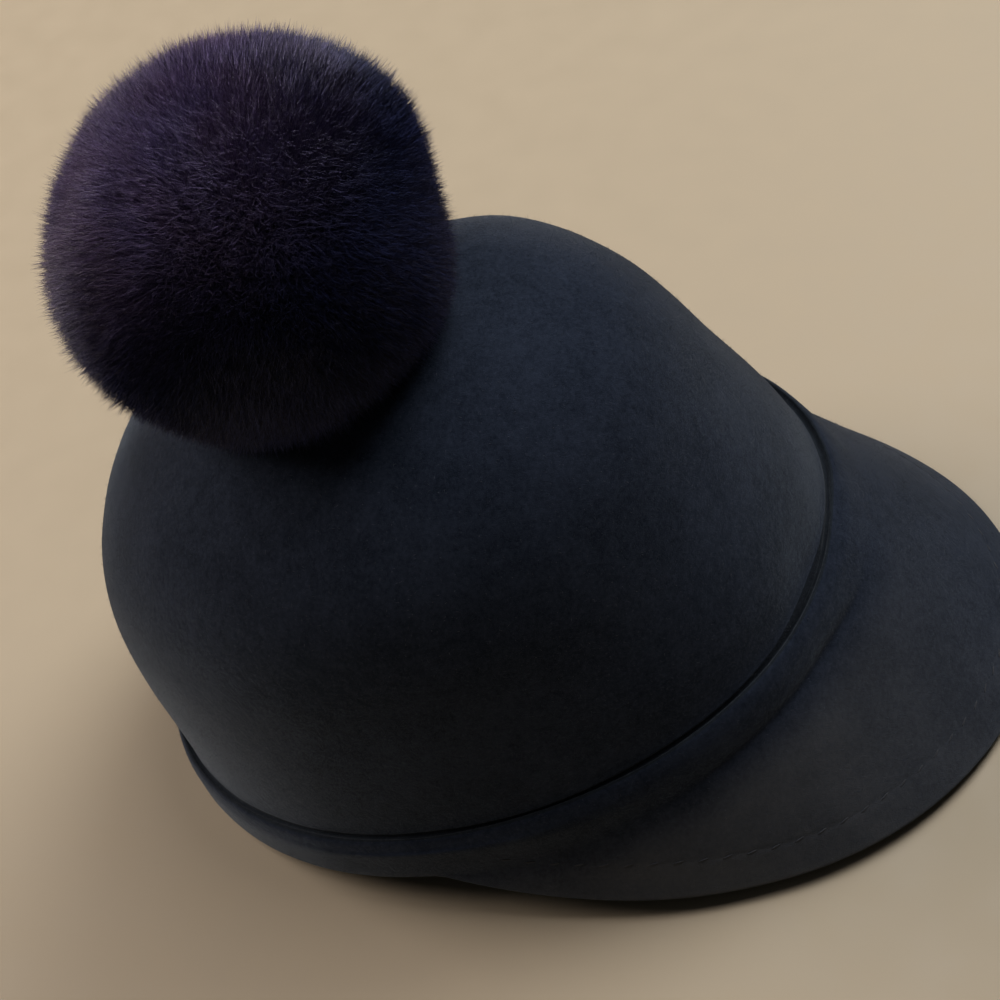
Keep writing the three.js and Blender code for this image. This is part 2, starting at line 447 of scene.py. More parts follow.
@dataclass(frozen=True)
class SharedEffects:
    """The shader groups that more than one finish uses."""

    fibres: bpy.types.NodeTree = field(default_factory=matted_fibres)
    patches: bpy.types.NodeTree = field(default_factory=soft_patches)

    def matted(self, nodes: Nodes, place: Any, **sizes: float) -> bpy.types.bpy_prop_collection:
        """Places the matted fibres in a material.

        Args:
            nodes: The material's nodes.
            place: Object coordinates.
            sizes: The group's sizes, with _ for a space in their names.

        Returns:
            The group's outputs.
        """
        inputs = {key.replace("_", " "): value for key, value in sizes.items()}
        return nodes.add("ShaderNodeGroup", {"Vector": place, **inputs}, node_tree=self.fibres)

    def tone(self, nodes: Nodes, place: Any, size: float) -> bpy.types.NodeSocket:
        """Places the soft patches in a material and returns their tone."""
        return nodes.add("ShaderNodeGroup", {"Vector": place, "Patch Size": size}, node_tree=self.patches)[0]


def new_material(name: str) -> tuple[bpy.types.Material, Nodes, bpy.types.Node]:
    """Makes a material with an empty Principled surface.

    Args:
        name: Name of the material.

    Returns:
        The material, its nodes and the Principled node.
    """
    material = bpy.data.materials.new(name)
    material.use_nodes = True
    material.node_tree.nodes.clear()
    nodes = Nodes(material.node_tree)
    surface = material.node_tree.nodes.new("ShaderNodeBsdfPrincipled")
    nodes.add("ShaderNodeOutputMaterial", {"Surface": surface.outputs[0]})
    return material, nodes, surface


def rgba(colour: Colour) -> tuple[float, float, float, float]:
    """Adds full opacity to a colour."""
    return (*colour, 1.0)


# Finishes


@dataclass(frozen=True)
class FeltFinish:
    """Thick wool felt: matted navy fibres with a pale bloom where it is seen at a slant."""

    name: str = "navy_felt"
    deep: Colour = (0.0125, 0.0175, 0.0300)
    pale: Colour = (0.0285, 0.0380, 0.0620)
    top_fibre: Colour = (0.0480, 0.0610, 0.0930)
    # Pale grey that the painted light on the peak and band, and the paler hem, mix towards
    worn_and_lit: Colour = (0.120, 0.122, 0.122)
    # Painted shade colour for the groove and the crease
    painted_shade_colour: Colour = (0.0040, 0.0045, 0.0070)
    lint: Colour = (0.42, 0.41, 0.40)
    fibre_width: float = 0.00016
    fibre_length: float = 0.0026
    patch_size: float = 0.022
    patch_tones: Span = (0.30, 0.70)
    speck_scale: float = 900.0
    speck_sway: float = 1.6  # how far the fine specks sway the tone
    mottle_scale: float = 260.0
    mottle_sway: float = 1.1  # how far the coarser mottle does
    grain_lost: float = 0.6  # how much of both is lost where the felt is painted paler
    highlight_lift: float = 0.5  # how much paler the painted highlight on the rim and edge makes the felt
    worn_and_lit_share: float = 0.4  # share of the pale painted-light colour on the darkest tone, which doubles on the palest
    painted_shade_share: float = 0.7
    top_share: float = 0.55
    lint_share: float = 0.8
    lint_scale: float = 62.0
    lint_rim: Span = (0.012, 0.024)
    lint_rarity: float = 0.94  # the share of places that have no lint
    rough: Span = (0.98, 0.86)  # roughness of the darkest and of the palest tone
    speck_height: float = 0.5
    relief: float = 0.00030
    bump: float = 0.75
    sheen: float = 0.45
    sheen_tint: Colour = (0.81, 0.92, 1.0)

    def material(self, shared: SharedEffects) -> bpy.types.Material:
        """Builds the felt.

        Args:
            shared: The shader groups.

        Returns:
            The material.
        """
        material, nodes, surface = new_material(self.name)
        place = nodes.place()
        fibres = shared.matted(nodes, place, Fibre_Width=self.fibre_width, Fibre_Length=self.fibre_length)
        specks = nodes.noise(place, self.speck_scale, 2.0)["Fac"]
        mottle = nodes.noise(place, self.mottle_scale, 2.0)["Fac"]
        # Masks of the painted highlight on ridges, painted light with a paler hem, and painted shade in the
        # groove and crease
        ridge_highlight, wear_and_light, pressed = (
            nodes.add("ShaderNodeAttribute", attribute_name=mask)["Fac"] for mask in FELT_MASKS
        )

        fine, coarse = (
            nodes.math("MULTIPLY_ADD", pattern, sway, -sway / 2)
            for pattern, sway in ((specks, self.speck_sway), (mottle, self.mottle_sway))
        )
        kept = nodes.math("MULTIPLY_ADD", wear_and_light, -self.grain_lost, 1.0)
        grain = nodes.math("MULTIPLY", nodes.math("ADD", fine, coarse), kept)
        tone = nodes.blend(shared.tone(nodes, place, self.patch_size), *self.patch_tones)
        tone = nodes.math("ADD", tone, grain)
        tone = nodes.math("ADD", tone, nodes.math("MULTIPLY", ridge_highlight, self.highlight_lift), clamp=True)

        worn_and_lit = nodes.math("MULTIPLY_ADD", tone, self.worn_and_lit_share, self.worn_and_lit_share)
        layers = (
            (nodes.math("MULTIPLY", wear_and_light, worn_and_lit), self.worn_and_lit),
            (nodes.math("MULTIPLY", pressed, self.painted_shade_share), self.painted_shade_colour),
            (nodes.math("MULTIPLY", fibres["Top Fibres"], self.top_share), self.top_fibre),
            (nodes.math("MULTIPLY", self.lint_mask(nodes, place), self.lint_share), self.lint),
        )
        base = nodes.paint(tone, self.deep, self.pale)
        for share, colour in layers:
            base = nodes.paint(share, base, colour)
        height = nodes.math("MULTIPLY_ADD", specks, self.speck_height, fibres["Height"])
        nodes.fill(
            surface,
            {
                "Base Color": base,
                "Roughness": nodes.span(tone, 0.0, 1.0, *self.rough),
                "Normal": nodes.bump(height, self.bump, self.relief),
                "Specular IOR Level": 0.06,
                "Sheen Weight": self.sheen,
                "Sheen Roughness": 0.3,
                "Sheen Tint": rgba(self.sheen_tint),
            },
        )
        return material

    def lint_mask(self, nodes: Nodes, place: bpy.types.NodeSocket) -> bpy.types.NodeSocket:
        """Marks the few specks of pale lint that cling to the felt.

        Args:
            nodes: The material's nodes.
            place: Object coordinates.

        Returns:
            The mask.
        """
        cells = nodes.add("ShaderNodeTexVoronoi", {"Vector": place, "Scale": self.lint_scale})
        near = nodes.span(cells["Distance"], *self.lint_rim, 1.0, 0.0)
        chance = nodes.add("ShaderNodeSeparateColor", {0: cells["Color"]})[0]
        return nodes.math("MULTIPLY", near, nodes.math("GREATER_THAN", chance, self.lint_rarity))


@dataclass(frozen=True)
class NapFinish:
    """Loose felt fibres that stand off the surface."""

    colour: Colour = (0.026, 0.032, 0.046)
    light: Colour = (0.075, 0.085, 0.108)
    patch_size: float = 0.0015
    rough: Span = (0.85, 0.65)

    def material(self, shared: SharedEffects) -> bpy.types.Material:
        """Builds the fibre material.

        Args:
            shared: The shader groups.

        Returns:
            The material.
        """
        material, nodes, surface = new_material("navy_felt_nap")
        tone = shared.tone(nodes, nodes.place(), self.patch_size)
        nodes.fill(
            surface,
            {
                "Base Color": nodes.paint(tone, self.colour, self.light),
                "Roughness": nodes.span(tone, 0.0, 1.0, *self.rough),
                "Specular IOR Level": 0.2,
                "Sheen Weight": 0.3,
                "Sheen Roughness": 0.5,
            },
        )
        return material


@dataclass(frozen=True)
class ThreadFinish:
    """Navy sewing thread with a slightly paler twist."""

    colour: Colour = (0.026, 0.029, 0.037)
    light: Colour = (0.048, 0.051, 0.060)
    fibre_width: float = 0.00009
    fibre_length: float = 0.0012
    curl: float = 0.0002
    fibre_tones: Span = (0.3, 0.8)
    rough: Span = (0.75, 0.5)  # roughness between the fibres and on them
    bump: float = 0.8
    relief: float = 0.0001

    def material(self, shared: SharedEffects) -> bpy.types.Material:
        """Builds the thread.

        Args:
            shared: The shader groups.

        Returns:
            The material.
        """
        material, nodes, surface = new_material("navy_thread")
        place = nodes.place()
        sizes = {"Fibre_Width": self.fibre_width, "Fibre_Length": self.fibre_length, "Curl": self.curl}
        fibres = shared.matted(nodes, place, **sizes)["Height"]
        nodes.fill(
            surface,
            {
                "Base Color": nodes.paint(fibres, self.colour, self.light),
                "Roughness": nodes.span(fibres, *self.fibre_tones, *self.rough),
                "Normal": nodes.bump(fibres, self.bump, self.relief),
                "Specular IOR Level": 0.35,
                "Sheen Weight": 0.2,
                "Sheen Roughness": 0.4,
            },
        )
        return material


@dataclass(frozen=True)
class FurFinish:
    """Fur whose hairs are near black at the root and plum to navy at the tip, with painted light: paler tips
    on one side, navy tips in painted shade on the other, and painted glints.
    """

    name: str
    root: Colour
    shaded_tip: Colour
    tip: Colour
    warm_lit_tip: Colour
    gloss: float
    # Painted glints on a few tips on the lit side
    painted_glint: Colour = (0.92, 0.86, 1.0)
    painted_glint_share: float = 0.6
    painted_glint_rarity: Span = (0.60, 0.70)
    plush: float = 0.8  # how far the hairs catch the light as one soft surface
    painted_light_side: tuple[float, float, float] = (-0.125, 0.353, 0.928)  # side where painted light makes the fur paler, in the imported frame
    painted_light_from: Span = (0.1, 1.0)
    lit_root_share: float = 0.8  # how much of the tip's colour the root has on the side of painted light
    patch_size: float = 0.017
    hair_scale: float = 1100.0
    hair_tones: Span = (0.35, 1.0)
    rougher: float = 0.12  # how much duller the darker hairs are
    sheen_tint: Colour = (0.80, 0.68, 1.0)

    def material(
        self, shared: SharedEffects, centre: Vector, inner: float, outer: float
    ) -> bpy.types.Material:
        """Builds the fur for a ball.

        Args:
            shared: The shader groups.
            centre: The ball's centre in metres.
            inner: Radius where the hairs are darkest, in metres.
            outer: Radius where they reach the tip's tone, in metres.

        Returns:
            The material.
        """
        material, nodes, surface = new_material(self.name)
        place = nodes.place()
        height = nodes.span(nodes.vector("DISTANCE", place, tuple(centre)), inner, outer)
        single = nodes.noise(place, self.hair_scale, 1.0)["Fac"]
        outwards = nodes.vector("NORMALIZE", nodes.vector("SUBTRACT", place, tuple(centre)))
        # Painted light: tips and roots are paler on one side and navy in painted shade on the other
        painted_light = nodes.span(nodes.vector("DOT_PRODUCT", outwards, self.painted_light_side), *self.painted_light_from)

        tip = nodes.paint(shared.tone(nodes, place, self.patch_size), self.tip, self.warm_lit_tip)
        tip = nodes.paint(painted_light, self.shaded_tip, tip)
        root = nodes.paint(nodes.math("MULTIPLY", painted_light, self.lit_root_share), self.root, tip)
        shade = nodes.math("MULTIPLY", height, nodes.span(single, *CLOUD_RANGE, *self.hair_tones))
        # Painted glints
        glinted = nodes.math("MULTIPLY", nodes.span(single, *self.painted_glint_rarity), painted_light)
        glinted = nodes.math("MULTIPLY", glinted, nodes.math("MULTIPLY", height, self.painted_glint_share))

        own = nodes.vector("SCALE", nodes.add("ShaderNodeNewGeometry")["Normal"], scale=1 - self.plush)
        facing = nodes.vector("ADD", nodes.vector("SCALE", outwards, scale=self.plush), own)
        nodes.fill(
            surface,
            {
                "Base Color": nodes.paint(glinted, nodes.paint(shade, root, tip), self.painted_glint),
                "Roughness": nodes.span(single, *CLOUD_RANGE, self.gloss + self.rougher, self.gloss),
                "Normal": nodes.vector("NORMALIZE", facing),
                "Specular IOR Level": 0.22,
                "Sheen Weight": 0.07,
                "Sheen Roughness": 0.35,
                "Sheen Tint": rgba(self.sheen_tint),
            },
        )
        return material


@dataclass(frozen=True)
class TableFinish:
    """Plain pale table top."""

    colour: Colour = (0.589, 0.485, 0.335)
    darker: float = 0.94  # how dark the grain is against the colour
    grain_scale: float = 60.0

    def material(self) -> bpy.types.Material:
        """Builds the table's material."""
        material, nodes, surface = new_material("pale_table")
        grain = nodes.noise(nodes.place(), self.grain_scale, 4.0)["Fac"]
        dark = tuple(channel * self.darker for channel in self.colour)
        nodes.fill(
            surface,
            {
                "Base Color": nodes.paint(grain, dark, self.colour),
                "Roughness": nodes.span(grain, *CLOUD_RANGE, 0.55, 0.65),
            },
        )
        return material


# The cap's shape


@dataclass(frozen=True)
class Rest:
    """How the cap lies: leaned back on its band and on the peak's edge, and pressed flat there."""

    tilt: float = math.radians(12)
    lift: float = 32.0
    centring: float = 27.386

    def place(self, points: Array) -> Array:
        """Turns points of the cap's own frame into metres on the table.

        Args:
            points: Points in millimetres, in the last axis.

        Returns:
            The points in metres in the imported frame.
        """
        x, y, z = np.moveaxis(points, -1, 0)
        cos, sin = math.cos(self.tilt), math.sin(self.tilt)
        leaned = [x, y * cos + z * sin + self.centring, np.maximum(z * cos - y * sin + self.lift, 0)]
        return np.stack(leaned, axis=-1) * MM

    def turn(self, directions: Array) -> Array:
        """Turns directions of the cap's own frame, without moving them."""
        x, y, z = np.moveaxis(directions, -1, 0)
        cos, sin = math.cos(self.tilt), math.sin(self.tilt)
        return np.stack([x, y * cos + z * sin, z * cos - y * sin], axis=-1)

    def undo(self, points: Array) -> Array:
        """Turns points on the table in metres back into the cap's own frame in millimetres."""
        x, y, z = np.moveaxis(points / MM, -1, 0)
        y, z = y - self.centring, z - self.lift
        cos, sin = math.cos(self.tilt), math.sin(self.tilt)
        return np.stack([x, y * cos - z * sin, y * sin + z * cos], axis=-1)


@dataclass(frozen=True)
class Dent:
    """A soft dent in the crown, or a swell where its depth is below zero."""

    bearing: float
    rise: float
    width: float
    depth: float


@dataclass(frozen=True)
class Crown:
    """The crown's outside: a table of levels on an egg-shaped oval, joined by smooth curves."""

    fullness: float = 2.15
    # One row per level: rise, reach in front, reach behind, reach to each side
    levels: tuple[tuple[float, float, float, float], ...] = (
        (0, 105.7, 103.2, 86.5),
        (16, 102, 101.1, 84.2),
        (33.5, 95.9, 99.2, 81.5),
        (51, 89, 95.1, 78.5),
        (67, 82.1, 87.8, 72.3),
        (80.5, 72.1, 76.3, 61.8),
        (91.5, 54.4, 56.8, 46.2),
        (99.5, 32.6, 32.6, 27.1),
        (104, 0, 0, 0),
    )
    dents: tuple[Dent, ...] = (
        Dent(bearing=12, rise=99, width=17, depth=1.6),
        Dent(bearing=205, rise=78, width=20, depth=1.8),
        Dent(bearing=341, rise=0, width=17, depth=1.4),
        Dent(bearing=62, rise=80.5, width=17, depth=-1.8),
        Dent(bearing=30, rise=33.5, width=18, depth=1.2),
    )
    dent_pivot: float = 45.0
    height_steps: int = 90
    far_below: float = -1000.0

    @property
    def top(self) -> float:
        """Height of the crown's top above its foot."""
        return self.levels[-1][0]

    def oval(self, angles: Array, reaches: Array, outset: float | Array = 0.0) -> Array:
        """Places points on the oval.

        Args:
            angles: Angles from the front.
            reaches: Reach in front, behind and to the side, in the last axis.
            outset: How far outside the oval the points lie.

        Returns:
            x and y of each point, in the last axis.
        """
        forward, sideways = np.cos(angles), np.sin(angles)
        norm = (np.abs(forward) ** self.fullness + np.abs(sideways) ** self.fullness) ** (1 / self.fullness)
        front, back, side = np.moveaxis(reaches, -1, 0)
        reach = np.where(forward > 0, front, back) + outset
        return np.stack([(side + outset) * sideways / norm, -reach * forward / norm], axis=-1)

    @property
    def foot_reaches(self) -> Array:
        """Reach of the crown's foot in front, behind and to the side."""
        return np.array(self.levels[0][1:])

    def round_foot(self, angles: Array, outset: float | Array) -> Array:
        """Places points on the oval of the crown's foot, moved outwards."""
        return self.oval(angles, self.foot_reaches, outset)

    def rings(self, angles: Array, shares: Array) -> Array:
        """Gives the crown's rings.

        Args:
            angles: Angles from the front.
            shares: Place of each ring, from 0 at the foot to 1 at the top.

        Returns:
            Points shaped (rings, angles, 3).
        """
        levels = even_curve(np.array(self.levels, float), shares)
        flat = self.oval(angles[None, :], levels[:, None, 1:])
        rises = np.broadcast_to(levels[:, None, :1], (*flat.shape[:2], 1))
        points = np.concatenate([flat, rises], axis=2)
        return self.pressed(points)

    def pressed(self, points: Array) -> Array:
        """Presses the soft dents into points of the crown."""
        inward = np.array([0, 0, self.dent_pivot]) - points
        inward /= np.linalg.norm(inward, axis=-1, keepdims=True)
        push = np.zeros(points.shape[:-1])
        for dent in self.dents:
            level = next(row for row in self.levels if row[0] >= dent.rise)
            x, y = self.oval(np.radians(dent.bearing), np.array(level[1:]))
            away = np.linalg.norm(points - np.array([x, y, dent.rise]), axis=-1)
            push = push + dent.depth * bell(away, dent.width)
        return points + inward * push[..., None]

    def height_at(self, flat: Array) -> Array:
        """Gives the height of the crown's outside over a place.

        Args:
            flat: x and y in millimetres, one place per row.

        Returns:
            One height per row, or a value far below the foot outside the crown.
        """
        shares = np.linspace(0, 1, self.height_steps)
        levels = even_curve(np.array(self.levels, float), shares)
        angles = np.arctan2(flat[:, 0], -flat[:, 1])
        edge = self.oval(angles[:, None], np.broadcast_to(levels[None, :, 1:], (len(flat), len(shares), 3)))
        inside = np.linalg.norm(edge, axis=2) >= np.linalg.norm(flat, axis=1)[:, None]
        highest = np.where(inside.any(axis=1), (len(shares) - 1) - np.argmax(inside[:, ::-1], axis=1), 0)
        return np.where(inside.any(axis=1), levels[highest, 0], self.far_below)


@dataclass(frozen=True)
class RightStretch:
    """A stretch of the wearer's right side with soft ends, as degrees from the front."""

    start: float
    full: float
    fades: float
    end: float

    def share(self, angles: Array) -> Array:
        """Gives 1 inside the stretch and 0 outside it."""
        bearing = bearings(angles)
        return ramp(-bearing, self.start, self.full) * ramp(bearing, -self.end, -self.fades)


@dataclass(frozen=True)
class Foot:
    """The groove pressed round the crown's foot, and the folded collar outside it."""

    # Outwards and upwards from the crown's foot, from the foot down to the band
    front_path: tuple[tuple[float, float], ...] = (
        (0, 0),
        (0.1, -1.1),
        (0.7, -2.2),
        (1.6, -1.9),
        (2.5, -1.2),
        (3.5, -2.2),
        (4.1, -4.8),
        (4.4, -8),
    )
    side_path: tuple[tuple[float, float], ...] = (
        (0, 0),
        (0.1, -0.6),
        (0.35, -1.1),
        (0.75, -0.9),
        (1.2, -0.7),
        (2.4, -1.6),
        (3.8, -4.6),
        (4.4, -8),
    )
    samples: int = 5
    shaded_fold_rows: int = 22  # rows from the crown's rim to the collar's shoulder, which get the darker finish of painted shade
    narrows: Span = (45.0, 80.0)  # bearings between which the groove narrows
    widens: Span = (94.0, 112.0)  # bearings between which it widens again behind
    back_share: float = 0.6  # how much of the side's path is left behind
    right_share: float = 0.85  # how much narrower the groove is in front on the wearer's right
    right_from: Span = (-12.0, 6.0)
    right_until: Span = (80.0, 112.0)
    droop: float = 3.1  # how much lower the groove runs at the sides
    droop_bearing: float = 95.0
    droop_width: float = 26.0
    droop_fade: float = 14.0  # how high above the foot the crown feels the droop
    droop_full: float = -3.0  # height down to which the collar feels all of it, while the band feels none
    # Inner side behind the groove, outwards and upwards from the crown's foot, from the band up to the crown
    back_path: tuple[tuple[float, float], ...] = ((-0.3, -7.1), (-1.8, -6.2), (-2.35, -3.8))

    def offsets(self, angles: Array) -> Array:
        """Gives the smooth path at each angle.

        Args:
            angles: Angles from the front.

        Returns:
            Outwards and upwards from the crown's foot, shaped (rows, angles, 2), without the first point.
        """
        count = (len(self.front_path) - 1) * self.samples
        shares = np.arange(1, count + 1) / count
        paths = (np.array(path, float) for path in (self.front_path, self.side_path))
        front, side = (even_curve(path, shares) for path in paths)
        bearing = bearings(angles)
        away = np.abs(bearing)
        sides = ramp(away, *self.narrows) * (1 - (1 - self.back_share) * ramp(away, *self.widens))
        right = self.right_share * ramp(-bearing, *self.right_from) * (1 - ramp(-bearing, *self.right_until))
        narrow = 1 - (1 - sides) * (1 - right)
        rows = front[:, None] * (1 - narrow[None, :, None]) + side[:, None] * narrow[None, :, None]
        rows[..., 1] -= self.lowered(angles) * ramp(rows[..., 1], self.front_path[-1][1], self.droop_full)
        return rows

    def lowered(self, angles: Array) -> Array:
        """Gives how much lower the groove runs at each angle."""
        return self.droop * bell(np.abs(bearings(angles)) - self.droop_bearing, self.droop_width)


@dataclass(frozen=True)
class Peak:
    """The band below the collar and the arched peak that it bends into in front."""

    band_out: float = 5.0
    # How much further out the band's foot stands where the peak begins, on the right and on the left
    band_flare: tuple[float, float] = (0.2, 4.4)
    left_flare_share: Span = (0.75, 0.95)  # shares of the peak between which the left one grows
    left_flare_from: Span = (-32, -2)  # bearings between which it grows
    right_flare_share: Span = (0, 0.4)
    flare_starts: float = 1.5  # how far below the crown's foot the collar begins to flare
    flare_out: Span = (1.8, 3.2)  # how far out the collar begins to flare and does so fully
    band_height: tuple[float, float, float] = (12.0, 17.6, 10.0)  # front, side, back
    right_bend: float = 0.95  # how far round the right side the front height lasts, as a cosine
    right_height_from: Span = (-10, 20)
    half_angle: float = math.radians(94)
    forward: float = 38.4
    drop: float = 51.7
    hollow: float = 4.0
    corner_sag: float = 9.8
    spread: tuple[float, float] = (0.67, 0.53)  # right, left
    spread_turns: Span = (-15, 15)  # bearings between which one spread turns into the other
    fullness: float = 1.45
    stops: tuple[float, ...] = (0, 1 / 3, 2 / 3, 1)  # where the peak's curve is fixed, from bend to edge
    curve_samples: int = 40
    hem: float = 10.6  # from the edge to the row of stitches
    hem_widens: float = 4.6  # how much wider the hem is at the right corner
    hem_widens_at: Span = (46.0, 78.0)
    hem_fade: Span = (9.6, 25.6)  # lengths of the peak between which the hem comes up
    least_reach: float = 3.0  # the last stretch of the band counts as peak where there is none
    least_share: float = 0.4  # but no more of the band than this
    # Where the rings lie before and after the bend and from the edge, closer together there
    rings_before: tuple[float, ...] = (4.0, 2.8, 2.0, 1.4, 0.9, 0.5, 0.2, 0.0)
    rings_after: tuple[float, ...] = (0.3, 0.7, 1.1, 1.6, 2.2, 3.0, 4.2, 6.0)
    rings_hem: tuple[float, ...] = (
        *(14, 13, 12.3, 11.8, 11.4, 11, 10.6, 10.2, 9.7),
        *(9, 8, 6.5, 5, 3.5, 2.2, 1.2, 0.5, 0.0),
    )
    band_rings: int = 8
    middle_rings: int = 18
    band_spare: float = 2.0  # least length that the band's other rings get
    peak_spare: float = 8.0  # least length that the peak's middle rings get

    def share(self, angles: Array) -> Array:
        """Gives how much of the peak's reach stands at each angle: 1 in the middle, 0 past the corners."""
        from_front = np.abs(np.where(angles > math.pi, angles - 2 * math.pi, angles))
        return np.maximum(0, 1 - (from_front / self.half_angle) ** self.fullness)

    def hem_width(self, angles: Array) -> Array:
        """Gives the distance from the edge to the row of stitches at each angle."""
        return self.hem + self.hem_widens * ramp(-bearings(angles), *self.hem_widens_at)

    def flare(self, angles: Array) -> Array:
        """Gives how far the band's foot is drawn out by the peak at each angle."""
        right, left = self.band_flare
        bearing, share = bearings(angles), self.share(angles)
        extra = (left - right) * ramp(bearing, *self.left_flare_from) * ramp(share, *self.left_flare_share)
        return right * ramp(share, *self.right_flare_share) + extra

    def heights(self, angles: Array) -> Array:
        """Gives the band's height at each angle."""
        front, side, back = self.band_height
        forward = np.cos(angles)
        end = np.where(forward > 0, front, back)
        on_right = ramp(-bearings(angles), *self.right_height_from) * (forward > 0)
        share = forward**2 * (1 - on_right) + ramp(forward, 0, self.right_bend) * on_right
        return side + (end - side) * share

    def stop(self, crown: Crown, angles: Array, along: float) -> Array:
        """Gives points of the peak's upper side.

        Args:
            crown: The crown that the band follows.
            angles: Angles from the front.
            along: 0 at the bend, 1 at the edge.

        Returns:
            One point per angle.
        """
        flare = self.flare(angles)
        bend = crown.round_foot(angles, self.band_out + flare)
        right, left = self.spread
        spread = right + (left - right) * ramp(bearings(angles), *self.spread_turns)
        heading = np.stack([spread * np.sin(angles), -np.ones(len(angles))], axis=1)
        heading /= np.linalg.norm(heading, axis=1, keepdims=True)
        sideways = bend[:, 0] / crown.foot_reaches[2]
        fall = self.drop + self.hollow * (1 - along) + self.corner_sag * sideways**2
        share = self.share(angles) * along
        flat = bend + heading * ((self.forward - flare) * share)[:, None]
        return np.column_stack([flat, -self.heights(angles) - fall * share])

    def flared(self, offsets: Array, angles: Array) -> Array:
        """Draws the lower part of the collar outwards where the peak begins.

        Args:
            offsets: Outwards and upwards from the crown's foot, shaped (rows, angles, 2).
            angles: Angles from the front.

        Returns:
            How far out each row stands at each angle, shaped (rows, angles).
        """
        out, up = np.moveaxis(offsets, -1, 0)
        low = np.clip((-up - self.flare_starts) / (self.band_height[0] - self.flare_starts), 0, 1)
        return out + low * ramp(out, *self.flare_out) * self.flare(angles)

    def tails(self, crown: Crown, foot: Foot, angles: Array) -> tuple[Array, Array, Array]:
        """Gives the felt from the collar down to the lower edge or out to the peak's edge.

        Args:
            crown: The crown that the band follows.
            foot: The groove and collar, which end where the band starts.
            angles: Angles from the front.

        Returns:
            Points shaped (rings, angles, 3), and for each point its distance past the bend and from the edge.
        """
        last = foot.offsets(angles)[-1:]
        start = np.column_stack([crown.round_foot(angles, self.flared(last, angles)[0]), last[0, :, 1]])
        stops = [self.stop(crown, angles, along) for along in self.stops]
        fine = spaced_curve(np.stack([start, *stops]), self.curve_samples)
        run = np.linalg.norm(np.diff(fine, axis=0), axis=2)
        run = np.vstack([np.zeros(len(angles)), np.cumsum(run, axis=0)])
        whole = run[-1]
        least = np.minimum(self.least_reach, whole * self.least_share)
        to_bend = np.minimum(run[self.curve_samples], whole - least)
        places = self.places(to_bend, whole - to_bend)
        rings = np.empty((*places.shape, 3))
        for j in range(len(angles)):
            for axis in range(3):
                rings[:, j, axis] = np.interp(places[:, j], run[:, j], fine[:, j, axis])
        return rings, places - to_bend, whole - places

    def places(self, to_bend: Array, reach: Array) -> Array:
        """Spreads the rings of the band and the peak, closer together at the bend and at the hem.

        Args:
            to_bend: Length from the band's start to the bend, for each angle.
            reach: Length from the bend to the edge, for each angle.

        Returns:
            Lengths from the band's start, shaped (rings, angles).
        """
        before, after, hem = (np.array(row) for row in (self.rings_before, self.rings_after, self.rings_hem))
        room = np.minimum(1, reach / (after[-1] + hem[0] + self.peak_spare))
        before = before[:, None] * np.minimum(1, to_bend / (before[0] + self.band_spare))
        band = np.linspace(0, 1, self.band_rings + 1)[1:, None] * (to_bend - before[0])
        near = to_bend + after[:, None] * room
        far = to_bend + reach - hem[:, None] * room
        middle = near[-1] + np.linspace(0, 1, self.middle_rings + 2)[1:-1, None] * (far[0] - near[-1])
        return np.vstack([band, to_bend - before[1:], near, middle, far])


